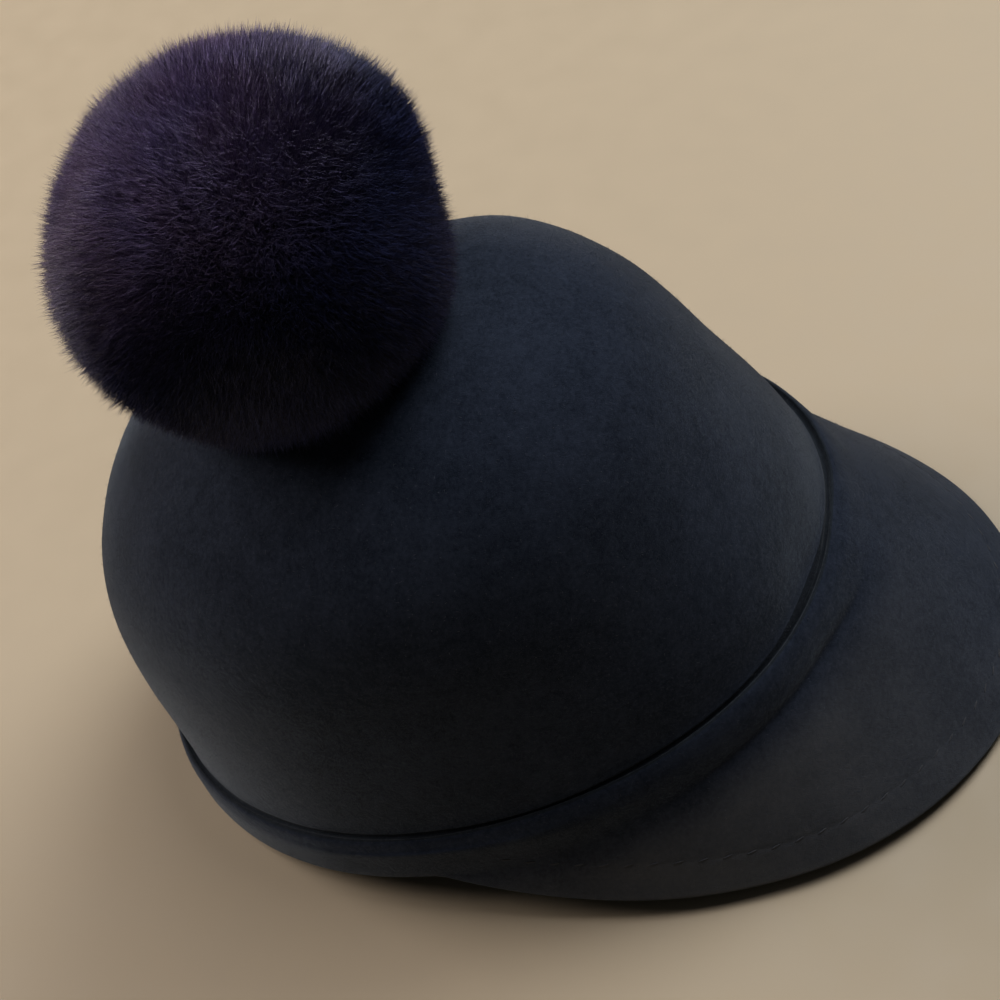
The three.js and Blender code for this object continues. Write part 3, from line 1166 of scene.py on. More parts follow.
@dataclass(frozen=True)
class FeltBody:
    """The moulded felt: crown, groove, collar, band and peak as one closed shell with its real wall."""

    rest: Rest = field(default_factory=Rest)
    crown: Crown = field(default_factory=Crown)
    foot: Foot = field(default_factory=Foot)
    peak: Peak = field(default_factory=Peak)
    felt: float = 2.6
    facets: int = 300
    # Shares of the crown's curve: even rings from the top, then closer ones down to the foot
    crown_span: Span = (0.985, 0.062)
    crown_rings: int = 58
    near_foot: tuple[float, ...] = (0.047, 0.034, 0.025, 0.018, 0.012, 0.007, 0.003, 0.0)
    inner_skip: int = 3  # the crown's inner side has one ring for so many of the outside
    tail_skip: int = 2  # and the inner side of the band and the peak for so many
    edge_bulge: float = 0.8
    edge_turns: tuple[float, ...] = (30, 60, 90, 120, 150)
    hem_extra: float = 1.5  # how much thicker the turned hem is
    hem_rise: float = 0.06  # how far the turned hem stands up on the upper side
    hem_step: Span = (-0.9, 0.4)
    stitch_dip: float = 0.12
    stitch_dip_width: float = 0.8
    stitch_share: float = 0.16  # the stitches end where the peak is shorter than this share
    crease_depth: float = 0.35
    crease_width: float = 1.5
    crease_stretch: RightStretch = RightStretch(start=8, full=22, fades=46, end=66)
    # Painted shade along the crease
    crease_shade: float = 0.75
    crease_shade_out: float = -0.4
    crease_shade_width: float = 1.4
    rim_lip: float = 0.15  # how far the crown's lower rim stands out over the groove
    rim_width: float = 1.2
    unevenness: float = 0.35
    uneven_size: float = 34.0
    uneven_from: Span = (-60, -50)  # heights between which the unevenness fades in
    rim_shine: float = 0.5  # how strong the painted highlight on the crown's rim is
    rim_shine_width: float = 0.9
    edge_shine: float = 0.6  # and the painted highlight on the felt's edge
    edge_shine_width: float = 1.5
    groove_rows: int = 13  # rows from the crown's rim to the groove's far side, which get painted shade
    groove_shade: float = 0.75
    groove_stretch: RightStretch = RightStretch(start=-16, full=0, fades=84, end=104)
    # Painted light: the peak and the band are painted paler on the wearer's right, and the turned hem is
    # paler too
    lit_peak_past: Span = (-1, 14)
    lit_peak_least: float = 0.02
    lit_peak_most: float = 0.95
    lit_peak_from: Span = (-15, 60)
    corner_from: Span = (45, 78)
    corner_loss: float = 0.3
    hem_paler: float = 0.05
    corner_hem_paler: float = 0.3
    lit_band: float = 0.14
    lit_band_past: Span = (-20, -8)
    lit_band_stretch: RightStretch = RightStretch(start=50, full=80, fades=120, end=150)
    # Where loose fibres grow, against 1 on the outside
    nap_inside: float = 0.25
    nap_clearance: float = 1.5  # none grow lower than this above the table
    outside_mark: float = 100.0  # distance from the bend and the edge that stands for far away

    def angles(self) -> Array:
        """Gives the angle of every facet from the front."""
        return np.arange(self.facets) / self.facets * 2 * math.pi

    def crown_shares(self) -> Array:
        """Gives the place of each of the crown's rings, closer together above the foot."""
        return np.concatenate([np.linspace(*self.crown_span, self.crown_rings), self.near_foot])

    def outside(self) -> dict[str, Array]:
        """Builds the outside of the felt from the top down to the edge.

        Returns:
            The rings without relief, their relief along the normal, where the hem is turned, the distance of
            each point from the edge, and the masks by name.
        """
        angles = self.angles()
        crown = self.crown.rings(angles, self.crown_shares())
        crown[..., 2] -= self.foot.lowered(angles) * ramp(-crown[..., 2], -self.foot.droop_fade, 0)
        offsets = self.foot.offsets(angles)
        flat = self.crown.round_foot(angles[None, :], self.peak.flared(offsets, angles))
        collar = np.concatenate([flat, offsets[..., 1:]], axis=2)
        tail, past_bend, from_edge = self.peak.tails(self.crown, self.foot, angles)
        rings = np.concatenate([crown, collar, tail])
        far = np.full((len(crown) + len(collar), len(angles)), self.outside_mark)
        past_bend = np.concatenate([-far, past_bend])
        from_edge = np.concatenate([far, from_edge])

        hem = ramp(from_edge[len(far)] - self.peak.heights(angles), *self.peak.hem_fade)
        hem_width = self.peak.hem_width(angles)
        turned = ramp(hem_width - from_edge, *self.hem_step) * hem
        creased = self.crease_stretch.share(angles)
        rise = rings[..., 2]
        above_rim = rise - rise[len(crown) - 1]
        on_crown = (np.arange(len(rings)) < len(crown))[:, None]
        slow = lumps(rings, self.uneven_size, octaves=2, seed=3.1)
        relief = self.hem_rise * turned
        relief -= self.stitch_dip * bell(from_edge - hem_width, self.stitch_dip_width) * hem
        relief -= self.crease_depth * bell(past_bend, self.crease_width) * creased
        relief += self.rim_lip * bell(above_rim, self.rim_width) * on_crown
        relief += self.unevenness * slow * ramp(rise, *self.uneven_from)

        # Painted highlights along the crown's rim and the felt's edge
        rim_highlight = self.rim_shine * bell(above_rim, self.rim_shine_width) * on_crown
        edge_highlight = self.edge_shine * bell(from_edge, self.edge_shine_width)
        # Painted shade along the crease past the bend and in the groove
        shaded = bell(past_bend - self.crease_shade_out, self.crease_shade_width)
        pressed = self.crease_shade * shaded * creased
        in_groove = slice(len(crown) - 1, len(crown) + self.groove_rows)
        pressed[in_groove] += self.groove_shade * self.groove_stretch.share(angles)
        return {
            "rings": rings,
            "relief": relief,
            "turned": turned,
            "from_edge": from_edge,
            "ridge_highlight": np.maximum(rim_highlight, edge_highlight),
            "wear_and_light": self.wear_and_light(angles, past_bend, turned),
            "pressed": pressed,
        }

    def wear_and_light(self, angles: Array, past_bend: Array, turned: Array) -> Array:
        """Gives how pale the felt is painted: painted light on the peak and the band of the wearer's right,
        and a paler turned hem.

        Args:
            angles: Angles from the front.
            past_bend: Distance of each point past the bend of the peak.
            turned: Where the hem is turned.

        Returns:
            The painted light and paleness of each point, from 0 to 1.
        """
        right = -bearings(angles)
        on_peak = ramp(past_bend, *self.lit_peak_past)
        near_corner = ramp(right, *self.corner_from)
        strength = self.lit_peak_least + self.lit_peak_most * ramp(right, *self.lit_peak_from)
        wear_and_light = on_peak * strength * (1 - self.corner_loss * near_corner)
        wear_and_light += turned * (self.hem_paler + self.corner_hem_paler * near_corner)
        on_band = ramp(past_bend, *self.lit_band_past) * self.lit_band_stretch.share(angles)
        wear_and_light += self.lit_band * on_band * (1 - on_peak)
        return np.clip(wear_and_light, 0, 1)

    def build(self) -> tuple[bpy.types.Object, bpy.types.Object]:
        """Builds the shell and the guide line for its stitches.

        Returns:
            The shell, and a line of points along the hem that carries the felt's normals.
        """
        made = self.outside()
        rings = made["rings"]
        normals = grid_normals(rings)
        outer = rings + normals * made["relief"][..., None]
        thick = self.felt + self.hem_extra * made["turned"]
        inner = rings - normals * thick[..., None]

        crown_count = len(self.crown_shares())
        tail_start = crown_count + len(self.foot.offsets(self.angles())) - 1
        tail_inner = inner[tail_start:][::-1][:: self.tail_skip]
        crown_inner = inner[:crown_count][::-1][:: self.inner_skip]
        edge = self.edge_rings(outer, inner)
        stack = np.concatenate([outer, edge, tail_inner, self.groove_back(), crown_inner])

        top = np.array([0, 0, self.crown.top])
        points = np.vstack([top, stack.reshape(-1, 3), top - [0, 0, self.felt]])
        shell = new_mesh("felt_shell", self.rest.place(points), self.faces(len(stack)))
        self.store_masks(shell, {key: made[key] for key in FELT_MASKS}, len(stack), points)
        return shell, self.hem_line(outer, normals, made["from_edge"])

    def groove_back(self) -> Array:
        """Gives the rings of the inner side behind the groove, from the band up to the crown."""
        angles = self.angles()
        rings = [
            np.column_stack([self.crown.round_foot(angles, out), np.full(len(angles), up)])
            for out, up in self.foot.back_path
        ]
        return np.stack(rings)

    def edge_rings(self, outer: Array, inner: Array) -> Array:
        """Rounds the felt's edge between its outer and its inner side.

        Args:
            outer: Rings of the outside.
            inner: Rings of the inside.

        Returns:
            The rings between the last ones.
        """
        start, end = outer[-1], inner[-1]
        outwards = outer[-1] - outer[-3]
        outwards /= np.linalg.norm(outwards, axis=1, keepdims=True)
        rings = []
        for turn in np.radians(self.edge_turns):
            share = (1 - math.cos(turn)) / 2
            rings.append(start + (end - start) * share + outwards * (self.edge_bulge * math.sin(turn)))
        return np.stack(rings)

    def faces(self, rings: int) -> list[tuple[int, ...]]:
        """Joins a pole, a stack of rings and another pole into one closed body.

        Args:
            rings: How many rings there are.

        Returns:
            The faces, pointing outwards.
        """
        count = self.facets
        last = 1 + rings * count
        faces: list[tuple[int, ...]] = []
        for j in range(count):
            k = (j + 1) % count
            faces.append((0, 1 + j, 1 + k))
            for i in range(rings - 1):
                a, b = 1 + i * count, 1 + (i + 1) * count
                faces.append((a + j, b + j, b + k, a + k))
            faces.append((1 + (rings - 1) * count + j, last, 1 + (rings - 1) * count + k))
        return faces

    def mark_shaded_fold(self, shell: bpy.types.Object) -> None:
        """Gives the faces between the crown's rim and the collar's shoulder the second finish, a darker copy
        that paints shade into the groove.

        Args:
            shell: The shell, with both finishes.
        """
        column = np.zeros(len(shell.data.polygons) // self.facets, int)
        crown_count = len(self.crown_shares())
        column[crown_count : crown_count + self.foot.shaded_fold_rows] = 1
        shell.data.polygons.foreach_set("material_index", np.tile(column, self.facets))

    def store_masks(
        self, shell: bpy.types.Object, masks: dict[str, Array], rings: int, points: Array
    ) -> None:
        """Stores the felt's masks and where loose fibres grow.

        Args:
            shell: The shell.
            masks: The masks of the outside by name.
            rings: How many rings the whole shell has.
            points: The shell's points in the cap's own frame.
        """
        outside = masks["ridge_highlight"].size
        inside = rings * self.facets - outside
        for name, mask in masks.items():
            add_values(shell, name, np.concatenate([[0], mask.ravel(), np.zeros(inside + 1)]))
        nap = np.concatenate([np.ones(outside + 1), np.full(inside + 1, self.nap_inside)])
        lying = self.rest.place(points)[:, 2] < self.nap_clearance * MM
        add_values(shell, "nap", np.where(lying, 0, nap))

    def hem_line(self, outer: Array, normals: Array, from_edge: Array) -> bpy.types.Object:
        """Gives the line that the stitches follow along the peak.

        Args:
            outer: Rings of the outside.
            normals: Their normals.
            from_edge: Distance of each point from the edge.

        Returns:
            A mesh line with the felt's normals as an attribute.
        """
        angles = self.angles()
        places = self.peak.hem_width(angles)
        long_enough = self.peak.share(angles) > self.stitch_share
        line, ups = [], []
        for j in np.argsort(bearings(angles)):
            if long_enough[j]:
                for rings, found in ((outer, line), (normals, ups)):
                    columns = rings[::-1, j].T
                    found.append([np.interp(places[j], from_edge[::-1, j], column) for column in columns])
        points = self.rest.place(np.array(line))
        made = new_mesh("hem_line", points, [])
        made.data.edges.add(len(points) - 1)
        pairs = np.column_stack([np.arange(len(points) - 1), np.arange(1, len(points))])
        made.data.edges.foreach_set("vertices", pairs.ravel())
        made.data.update()
        add_values(made, "felt_up", self.rest.turn(np.array(ups)))
        return made


# What repeats: stitches, loose fibres and fur


class Repeat:
    """One Geometry Nodes tree with named sizes, and the plain mesh that it gives."""

    def __init__(self, name: str, sizes: dict[str, tuple[str, Any]]) -> None:
        """Starts the tree.

        Args:
            name: Name of the tree.
            sizes: For each named input, its socket type and default value.
        """
        geometry = "NodeSocketGeometry"
        inputs = {"Geometry": (geometry, None), **sizes, "Material": ("NodeSocketMaterial", None)}
        self.nodes, self.given = new_group(name, "GeometryNodeTree", inputs, {"Geometry": geometry})

    def attribute(self, name: str, kind: str) -> bpy.types.NodeSocket:
        """Reads one of the guide's attributes."""
        return self.nodes.add("GeometryNodeInputNamedAttribute", {"Name": name}, data_type=kind)[0]

    def copies(self, points: Any, shape: Any, turn: Any, size: Any) -> bpy.types.NodeSocket:
        """Sets a shape on each point and makes the copies real.

        Args:
            points: The points.
            shape: The shape that is repeated.
            turn: Its rotation at each point.
            size: Its scale at each point.

        Returns:
            The realized copies.
        """
        inputs = {"Points": points, "Instance": shape, "Rotation": turn, "Scale": size}
        placed = self.nodes.add("GeometryNodeInstanceOnPoints", inputs)
        return self.nodes.add("GeometryNodeRealizeInstances", {"Geometry": placed[0]})[0]

    def finish(self, geometry: bpy.types.NodeSocket) -> None:
        """Ends the tree with its material.

        Args:
            geometry: The realized geometry.
        """
        inputs = {"Geometry": geometry, "Material": self.given["Material"]}
        painted = self.nodes.add("GeometryNodeSetMaterial", inputs)
        self.nodes.add("NodeGroupOutput", {"Geometry": painted[0]})

    def run(self, name: str, guide: bpy.types.Object, values: dict[str, Any]) -> bpy.types.Object:
        """Runs the tree on a guide object.

        Args:
            name: Name of the new piece.
            guide: The object whose mesh the tree starts from.
            values: A value for each named input.

        Returns:
            A new object with the plain mesh.
        """
        carrier = bpy.data.objects.new(f"{name}_guide", guide.data)
        bpy.context.scene.collection.objects.link(carrier)
        modifier = carrier.modifiers.new(name, "NODES")
        modifier.node_group = self.nodes.tree
        sockets = self.nodes.tree.interface.items_tree
        ids = {socket.name: socket.identifier for socket in sockets if socket.in_out == "INPUT"}
        for key, value in values.items():
            modifier[ids[key]] = value
        graph = bpy.context.evaluated_depsgraph_get()
        mesh = bpy.data.meshes.new_from_object(carrier.evaluated_get(graph))
        bpy.data.objects.remove(carrier)
        mesh.name = name
        for used_up in (*FELT_MASKS, "nap", "felt_up"):
            if used_up in mesh.attributes:
                mesh.attributes.remove(mesh.attributes[used_up])
        made = bpy.data.objects.new(name, mesh)
        bpy.context.scene.collection.objects.link(made)
        return made


class StitchRow(Repeat):
    """A row of slanted running stitches along a line."""

    def __init__(self) -> None:
        """Builds the tree: points along the line, each with one stitch that lies on the felt."""
        sizes = {
            "Pitch": (FLOAT, 0.0064),
            "Stitch Length": (FLOAT, 0.003),
            "Thread": (FLOAT, 0.0005),
            "Slant": (FLOAT, 0.3),
        }
        super().__init__("stitch_row", sizes)
        nodes, given = self.nodes, self.given
        curve = nodes.add("GeometryNodeMeshToCurve", {"Mesh": given["Geometry"]})[0]
        inputs = {"Curve": curve, "Length": given["Pitch"]}
        spaced = nodes.add("GeometryNodeResampleCurve", inputs, mode="LENGTH")[0]
        thread = nodes.add("GeometryNodeMeshUVSphere", {"Segments": 8, "Rings": 7, "Radius": 0.5})["Mesh"]
        up = self.attribute("felt_up", "FLOAT_VECTOR")
        standing = nodes.add("FunctionNodeAlignRotationToVector", {"Vector": up}, axis="Z")[0]
        inputs = {"Rotation": standing, "Vector": nodes.add("GeometryNodeInputTangent")[0]}
        along = nodes.add("FunctionNodeAlignRotationToVector", inputs, axis="Y", pivot_axis="Z")[0]
        slant = nodes.add("ShaderNodeCombineXYZ", {"Z": given["Slant"]})[0]
        inputs = {"Rotation": along, "Rotate By": slant}
        turned = nodes.add("FunctionNodeRotateRotation", inputs, rotation_space="LOCAL")[0]
        inputs = {"X": given["Thread"], "Y": given["Stitch Length"], "Z": given["Thread"]}
        size = nodes.add("ShaderNodeCombineXYZ", inputs)[0]
        stitches = self.copies(spaced, thread, turned, size)
        self.finish(nodes.add("GeometryNodeSetShadeSmooth", {"Geometry": stitches})[0])


class HairCoat(Repeat):
    """Tapered hairs that grow out of a surface, gathered into tufts and bent a little."""

    length_seed = 17.0  # added to a coat's seed for the lengths of its hairs

    def __init__(self, name: str) -> None:
        """Builds the tree.

        Args:
            name: Name of the tree.
        """
        sizes = {
            "Density": (FLOAT, 1e6),
            "Length": (FLOAT, 0.01),
            "Length Spread": (FLOAT, 0.3),
            "Width": (FLOAT, 0.0003),
            "Lean": (FLOAT, 0.3),
            "Bend": (FLOAT, 0.001),
            "Bend Size": (FLOAT, 0.01),
            "Tuft Size": (FLOAT, 0.008),
            "Tuft Pull": (FLOAT, 0.2),
            "Seed": ("NodeSocketInt", 1),
        }
        super().__init__(name, sizes)
        self.finish(self.grow(self.scatter()))

    def scatter(self) -> bpy.types.bpy_prop_collection:
        """Spreads the roots over the surface, thinned by its nap attribute.

        Returns:
            The sockets of the points and their normals.
        """
        density = self.nodes.math("MULTIPLY", self.attribute("nap", "FLOAT"), self.given["Density"])
        inputs = {"Mesh": self.given["Geometry"], "Density": density, "Seed": self.given["Seed"]}
        return self.nodes.add("GeometryNodeDistributePointsOnFaces", inputs, distribute_method="RANDOM")

    def grow(self, roots: bpy.types.bpy_prop_collection) -> bpy.types.NodeSocket:
        """Grows one hair from each root, then gathers and bends the hairs.

        Args:
            roots: The sockets of the points and their normals.

        Returns:
            The realized hairs.
        """
        nodes, given = self.nodes, self.given
        corners = {0: (-1.0, -1.0, -1.0), 1: (1.0, 1.0, 1.0), "Seed": given["Seed"]}
        spin = nodes.add("FunctionNodeRandomValue", data_type="FLOAT_VECTOR", inputs=corners)[0]
        aside = nodes.vector("SCALE", spin, scale=given["Lean"])
        heading = nodes.vector("NORMALIZE", nodes.vector("ADD", roots["Normal"], aside))
        facing = nodes.add("FunctionNodeAlignRotationToVector", {"Vector": heading}, axis="Z")[0]
        seed = nodes.math("ADD", given["Seed"], self.length_seed)
        chance = nodes.add("FunctionNodeRandomValue", {"Seed": seed}, data_type="FLOAT")[1]
        loss = nodes.math("MULTIPLY", chance, given["Length Spread"])
        length = nodes.math("MULTIPLY", given["Length"], nodes.math("MULTIPLY_ADD", loss, -1.0, 1.0))
        size = nodes.add("ShaderNodeCombineXYZ", {"X": given["Width"], "Y": given["Width"], "Z": length})[0]

        keeper = nodes.tree.nodes.new("GeometryNodeCaptureAttribute")
        keeper.capture_items.new("VECTOR", "Root")
        root = nodes.add("GeometryNodeInputPosition")[0]
        kept = nodes.fill(keeper, {"Geometry": roots["Points"], "Root": root}).outputs
        cone = {"Vertices": 3, "Side Segments": 1, "Radius Bottom": 0.5, "Depth": 1.0}
        hair = nodes.add("GeometryNodeMeshCone", cone)["Mesh"]
        return self.gather(self.copies(kept["Geometry"], hair, facing, size), kept["Root"])

    def gather(self, hairs: bpy.types.NodeSocket, root: bpy.types.NodeSocket) -> bpy.types.NodeSocket:
        """Pulls each hair's tip towards the middle of its tuft and bends it with its neighbours.

        Args:
            hairs: The realized hairs.
            root: The root of the hair that each point belongs to.

        Returns:
            The moved hairs.
        """
        nodes, given = self.nodes, self.given
        here = nodes.add("GeometryNodeInputPosition")[0]
        away = nodes.math("DIVIDE", nodes.vector("DISTANCE", here, root), given["Length"])
        bow = nodes.math("MULTIPLY", away, away)
        inputs = {"Vector": root, "Scale": nodes.inverse(given["Tuft Size"])}
        tufts = nodes.add("ShaderNodeTexVoronoi", inputs)["Position"]
        waves = nodes.noise(root, nodes.inverse(given["Bend Size"]), 2.0)["Color"]
        pulls = (
            (nodes.vector("SUBTRACT", tufts, root), given["Tuft Pull"]),
            (nodes.vector("SUBTRACT", waves, MIDDLE_GREY), given["Bend"]),
        )
        moves = [nodes.vector("SCALE", way, scale=nodes.math("MULTIPLY", bow, pull)) for way, pull in pulls]
        inputs = {"Geometry": hairs, "Offset": nodes.vector("ADD", *moves)}
        return nodes.add("GeometryNodeSetPosition", inputs)[0]


# Sub-assemblies


@dataclass
class FeltCap:
    """The felt body with its stitches and loose fibres."""

    body: FeltBody
    shared: SharedEffects
    stitch_pitch: float = 0.0064
    nap_length: float = 0.0013
    nap_width: float = 0.00008
    nap_density: float = 1.6e5
    # Painted shade: the groove gets a darker copy of the felt with less bloom
    shaded_fold: FeltFinish = FeltFinish(
        name="navy_felt_fold_shaded",
        deep=(0.0140, 0.0180, 0.0240),
        pale=(0.0270, 0.0340, 0.0440),
        top_fibre=(0.040, 0.048, 0.060),
        sheen=0.2,
    )

    def build(self) -> list[bpy.types.Object]:
        """Builds and dresses the felt, the stitches and the loose fibres.

        Returns:
            The pieces.
        """
        shell, line = self.body.build()
        dress(shell, FeltFinish().material(self.shared), Slot.FELT, "felt_body")
        shell.data.materials.append(self.shaded_fold.material(self.shared))
        self.body.mark_shaded_fold(shell)
        return [shell, self.stitches(line), self.nap(shell)]

    def stitches(self, line: bpy.types.Object) -> bpy.types.Object:
        """Sews the row of stitches along the peak's turned edge.

        Args:
            line: The line that they follow, which is used up.

        Returns:
            The stitches.
        """
        thread = ThreadFinish().material(self.shared)
        row = StitchRow().run("hem_stitches", line, {"Pitch": self.stitch_pitch, "Material": thread})
        bpy.data.objects.remove(line)
        return dress(row, thread, Slot.FELT)

    def nap(self, shell: bpy.types.Object) -> bpy.types.Object:
        """Grows the loose fibres.

        Args:
            shell: The shell that they grow from.

        Returns:
            The fibres.
        """
        finish = NapFinish().material(self.shared)
        values = {
            "Density": self.nap_density,
            "Length": self.nap_length,
            "Length Spread": 0.7,
            "Width": self.nap_width,
            "Lean": 1.5,
            "Bend": 0.0008,
            "Bend Size": 0.002,
            "Tuft Pull": 0.0,
            "Seed": 5,
            "Material": finish,
        }
        return dress(HairCoat("felt_nap").run("felt_nap", shell, values), finish, Slot.FELT)


@dataclass(frozen=True)
class Swell:
    """A place where the ball's fur stands further out, or less far."""

    towards: tuple[float, float, float]
    rise: float
    width: float


class Layer(Enum):
    """The two kinds of hair, with their finishes."""

    UNDER = FurFinish(
        name="fur_under",
        root=(0.0040, 0.0036, 0.0160),
        shaded_tip=(0.036, 0.047, 0.150),
        tip=(0.272, 0.210, 0.450),
        warm_lit_tip=(0.325, 0.222, 0.435),
        gloss=0.45,
    )
    GUARD = FurFinish(
        name="fur_guard",
        root=(0.0060, 0.0052, 0.0230),
        shaded_tip=(0.094, 0.118, 0.345),
        tip=(0.525, 0.405, 0.820),
        warm_lit_tip=(0.605, 0.425, 0.790),
        gloss=0.34,
    )


@dataclass(frozen=True)
class Coat:
    """One coat of the ball's fur."""

    name: str
    layer: Layer
    length: float
    spread: float
    width: float
    lean: float
    bend: float
    bend_size: float
    tuft_size: float
    tuft_pull: float
    seed: int


@dataclass
class FurBall:
    """The fur ball: a soft dark core and the coats of hair that grow out of it."""

    body: FeltBody
    shared: SharedEffects
    radius: float = 51.5
    core_radius: float = 40.7
    rise: float = 28.3
    aside: float = -1.3
    gap: float = 0.4
    spare: float = 1.0  # points higher than this above the crown's top can't reach into it
    core_detail: int = 5
    core_lumps: float = 1.1
    core_lump_size: float = 13.0
    dark_depth: float = 2.0  # how far inside the core's radius the hairs are darkest
    tip_depth: float = 5.0  # how far inside the ball's radius they reach the tip's tone
    hairs: int = 48500  # in each coat
    # One row per swell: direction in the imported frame, rise, width against the ball's radius
    swells: tuple[Swell, ...] = (
        Swell((0.676, -0.605, 0.422), 3.6, 0.42),
        Swell((0.336, -0.942, 0.007), -3.0, 0.22),
        Swell((-0.469, 0.870, -0.151), 1.6, 0.45),
        Swell((0.339, 0.763, 0.550), -2.0, 0.50),
        Swell((0.755, -0.141, 0.641), 2.2, 0.38),
    )
    # One row per coat: name, layer, length, spread, width, lean, bend, bend size, tuft size, tuft pull, seed
    coats: tuple[Coat, ...] = (
        Coat("fur_under_1", Layer.UNDER, 9.8, 0.22, 0.56, 0.34, 3.0, 14, 6.0, 0.20, 11),
        Coat("fur_under_2", Layer.UNDER, 11.0, 0.24, 0.46, 0.60, 3.0, 14, 6.0, 0.20, 23),
        Coat("fur_guard_1", Layer.GUARD, 12.0, 0.22, 0.38, 0.80, 4.0, 15, 5.0, 0.22, 37),
        Coat("fur_guard_2", Layer.GUARD, 12.5, 0.26, 0.34, 0.85, 4.0, 15, 5.0, 0.22, 41),
    )

    @property
    def centre(self) -> Array:
        """Centre of the ball in the cap's own frame."""
        return np.array([self.aside, 0.0, self.body.crown.top + self.rise])

    def build(self) -> list[bpy.types.Object]:
        """Builds and dresses the core and the coats.

        Returns:
            The pieces.
        """
        middle = Vector(self.body.rest.place(self.centre))
        inner, outer = (self.core_radius - self.dark_depth) * MM, (self.radius - self.tip_depth) * MM
        finishes = {layer: layer.value.material(self.shared, middle, inner, outer) for layer in Layer}
        core = self.core()
        density = self.hairs / sum(face.area for face in core.data.polygons)
        tree = HairCoat("fur_coat")
        pieces = []
        for coat in self.coats:
            values = {
                "Density": density,
                "Length": coat.length * MM,
                "Length Spread": coat.spread,
                "Width": coat.width * MM,
                "Lean": coat.lean,
                "Bend": coat.bend * MM,
                "Bend Size": coat.bend_size * MM,
                "Tuft Size": coat.tuft_size * MM,
                "Tuft Pull": coat.tuft_pull,
                "Seed": coat.seed,
                "Material": finishes[coat.layer],
            }
            hairs = tree.run(coat.name, core, values)
            self.swell(hairs.data)
            self.press(hairs.data)
            pieces.append(dress(hairs, finishes[coat.layer], Slot.FUR, "pompom"))
        core.data.attributes.remove(core.data.attributes["nap"])
        pieces.append(dress(core, finishes[Layer.UNDER], Slot.FUR, "pompom"))
        return pieces

    def core(self) -> bpy.types.Object:
        """Builds the lumpy core, flattened where it sits on the crown."""
        bpy.ops.mesh.primitive_ico_sphere_add(subdivisions=self.core_detail, radius=1.0)
        source = bpy.context.object
        directions = np.array([corner.co for corner in source.data.vertices])
        faces = [tuple(face.vertices) for face in source.data.polygons]
        bpy.data.objects.remove(source)
        lumpy = lumps(directions * self.core_radius, self.core_lump_size, octaves=3, seed=7.7)
        reach = self.core_radius + self.core_lumps * lumpy
        points = self.centre + directions * reach[:, None]
        core = new_mesh("fur_core", self.body.rest.place(points), faces)
        self.press(core.data)
        add_values(core, "nap", np.ones(len(points)))
        return core

    def swell(self, mesh: bpy.types.Mesh) -> None:
        """Moves the fur out and in where the ball isn't round.

        Args:
            mesh: A coat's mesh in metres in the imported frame.
        """
        middle = self.body.rest.place(self.centre)
        away = mesh_points(mesh) - middle
        directions = away / np.linalg.norm(away, axis=1, keepdims=True)
        push = np.zeros(len(away))
        for place in self.swells:
            towards = np.array(place.towards) / np.linalg.norm(place.towards)
            push += place.rise * bell(np.linalg.norm(directions - towards, axis=1), place.width)
        grown = middle + away * (1 + push[:, None] / self.radius)
        mesh.vertices.foreach_set("co", grown.ravel())

    def press(self, mesh: bpy.types.Mesh) -> None:
        """Lays the points of a mesh that would reach into the crown on top of it.

        Args:
            mesh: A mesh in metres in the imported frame.
        """
        own = self.body.rest.undo(mesh_points(mesh))
        low = np.flatnonzero(own[:, 2] < self.body.crown.top + self.spare)
        floor = self.body.crown.height_at(own[low, :2]) + self.gap
        sunk = own[low, 2] < floor
        own[low[sunk], 2] = floor[sunk]
        mesh.vertices.foreach_set("co", self.body.rest.place(own).ravel())
        mesh.update()


@dataclass(frozen=True)
class SoftLight:
    """One large soft lamp."""

    name: str
    place: tuple[float, float, float]
    size: float
    watts: float
    colour: Colour


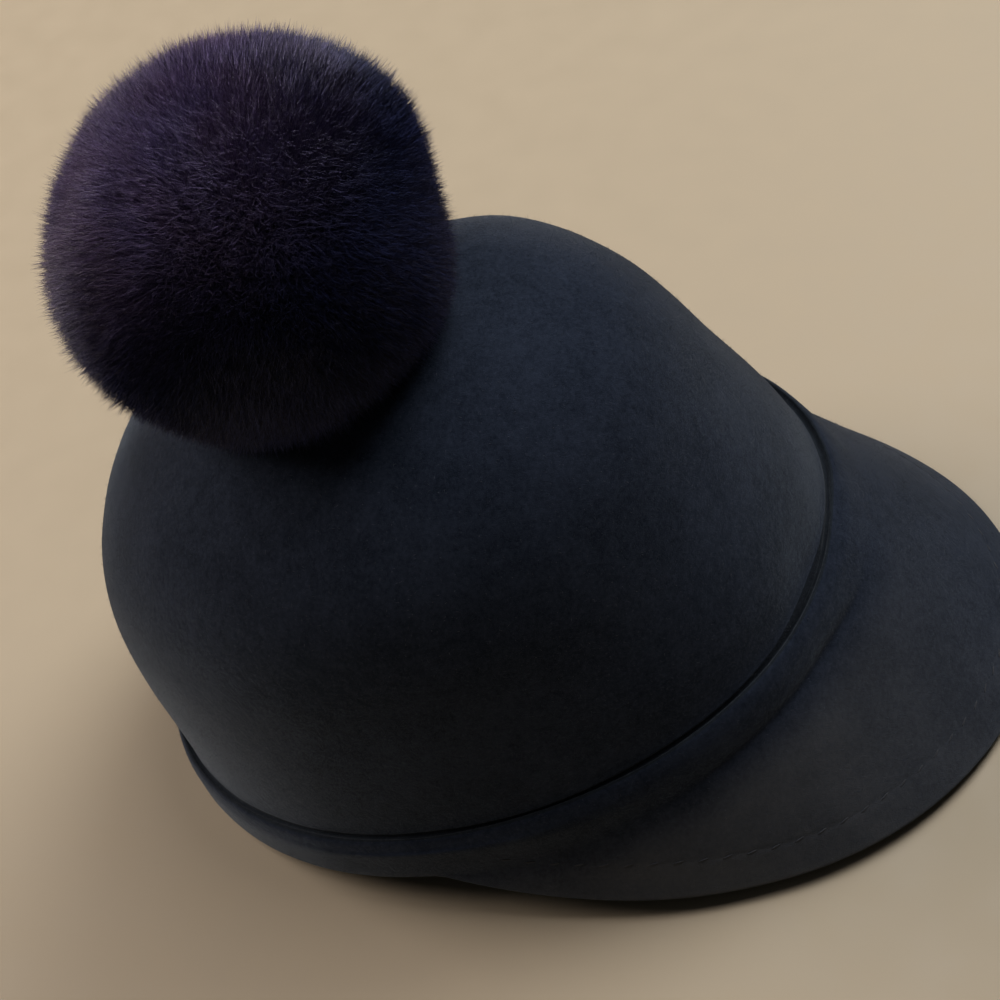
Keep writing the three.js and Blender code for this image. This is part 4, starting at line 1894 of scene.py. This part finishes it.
@dataclass
class Studio:
    """The camera at the photograph's angle, soft lamps and a pale table."""

    rest: Rest
    azimuth: float = math.radians(-70.79)
    elevation: float = math.radians(46.129)
    roll: float = math.radians(-17.448)
    distance: float = 0.4719
    aim_height: float = 0.05
    shift: tuple[float, float] = (-0.01039, -0.00907)
    focal_pixels: float = 1620.8
    frame_pixels: float = 1000.0
    sensor: float = 36.0
    nearest: float = 0.01
    table_half: float = 6.0
    table_drop: float = 0.0003  # how far the table lies below the cap
    # One row per lamp: name, place, width, watts, colour
    lamps: tuple[SoftLight, ...] = (
        SoftLight("key", (0.66, -0.38, 1.69), 1.2, 12.0, (1.0, 0.96, 0.97)),
        SoftLight("front", (1.10, -0.64, 1.33), 1.2, 12.5, (0.92, 0.97, 1.0)),
        SoftLight("back", (0.32, 1.54, 0.89), 1.2, 19.0, (1.0, 0.90, 0.86)),
    )
    sky: Colour = (0.92, 0.96, 1.0)
    sky_strength: float = 0.02

    def build(self) -> None:
        """Sets up the camera, the lamps, the sky and the table."""
        self.camera()
        for lamp in self.lamps:
            self.lamp(lamp)
        world = bpy.data.worlds.new("studio")
        world.use_nodes = True
        background = world.node_tree.nodes["Background"]
        background.inputs[0].default_value = rgba(self.sky)
        background.inputs[1].default_value = self.sky_strength
        bpy.context.scene.world = world
        bpy.context.scene.view_settings.view_transform = "Standard"
        self.table()

    def camera(self) -> None:
        """Makes the camera where the photograph was taken from."""
        sin_a, cos_a = math.sin(self.azimuth), math.cos(self.azimuth)
        sin_e, cos_e = math.sin(self.elevation), math.cos(self.elevation)
        back = Vector((sin_a * cos_e, -cos_a * cos_e, sin_e))
        level = Vector((0, 0, 1)).cross(back).normalized()
        upright = back.cross(level)
        right = level * math.cos(self.roll) + upright * math.sin(self.roll)
        up = upright * math.cos(self.roll) - level * math.sin(self.roll)
        aim = Vector((0, self.rest.centring * MM, self.aim_height))
        place = aim + back * self.distance - right * self.shift[0] - up * self.shift[1]
        data = bpy.data.cameras.new("photo_view")
        data.sensor_width = self.sensor
        data.lens = self.focal_pixels / self.frame_pixels * self.sensor
        data.clip_start = self.nearest
        camera = bpy.data.objects.new("photo_view", data)
        camera.matrix_world = Matrix.Translation(place) @ Matrix((right, up, back)).transposed().to_4x4()
        bpy.context.scene.collection.objects.link(camera)
        bpy.context.scene.camera = camera

    def lamp(self, lamp: SoftLight) -> None:
        """Makes one lamp that faces the cap.

        Args:
            lamp: Its place, size, power and colour.
        """
        data = bpy.data.lights.new(lamp.name, "AREA")
        data.shape = "DISK"
        data.size = lamp.size
        data.energy = lamp.watts
        data.color = lamp.colour
        light = bpy.data.objects.new(lamp.name, data)
        place = Vector(lamp.place)
        light.rotation_euler = place.to_track_quat("Z", "Y").to_euler()
        light.location = place
        bpy.context.scene.collection.objects.link(light)

    def table(self) -> None:
        """Makes the table top under the cap."""
        half, drop = self.table_half, -self.table_drop
        corners = [(-half, -half, drop), (half, -half, drop), (half, half, drop), (-half, half, drop)]
        top = new_mesh("table", np.array(corners), [(0, 1, 2, 3)], smooth=False)
        top.data.materials.append(TableFinish().material())


def main() -> None:
    """Builds the studio and the two sub-assemblies."""
    logging.basicConfig(level=logging.INFO, format="%(name)s %(message)s")
    body = FeltBody()
    shared = SharedEffects()
    Studio(body.rest).build()
    builders: tuple[Callable[[], list[bpy.types.Object]], ...] = (
        FeltCap(body, shared).build,
        FurBall(body, shared).build,
    )
    for build in builders:
        for piece in build():
            LOG.info("ready: %s", piece.name)


if __name__ == "__main__":
    main()
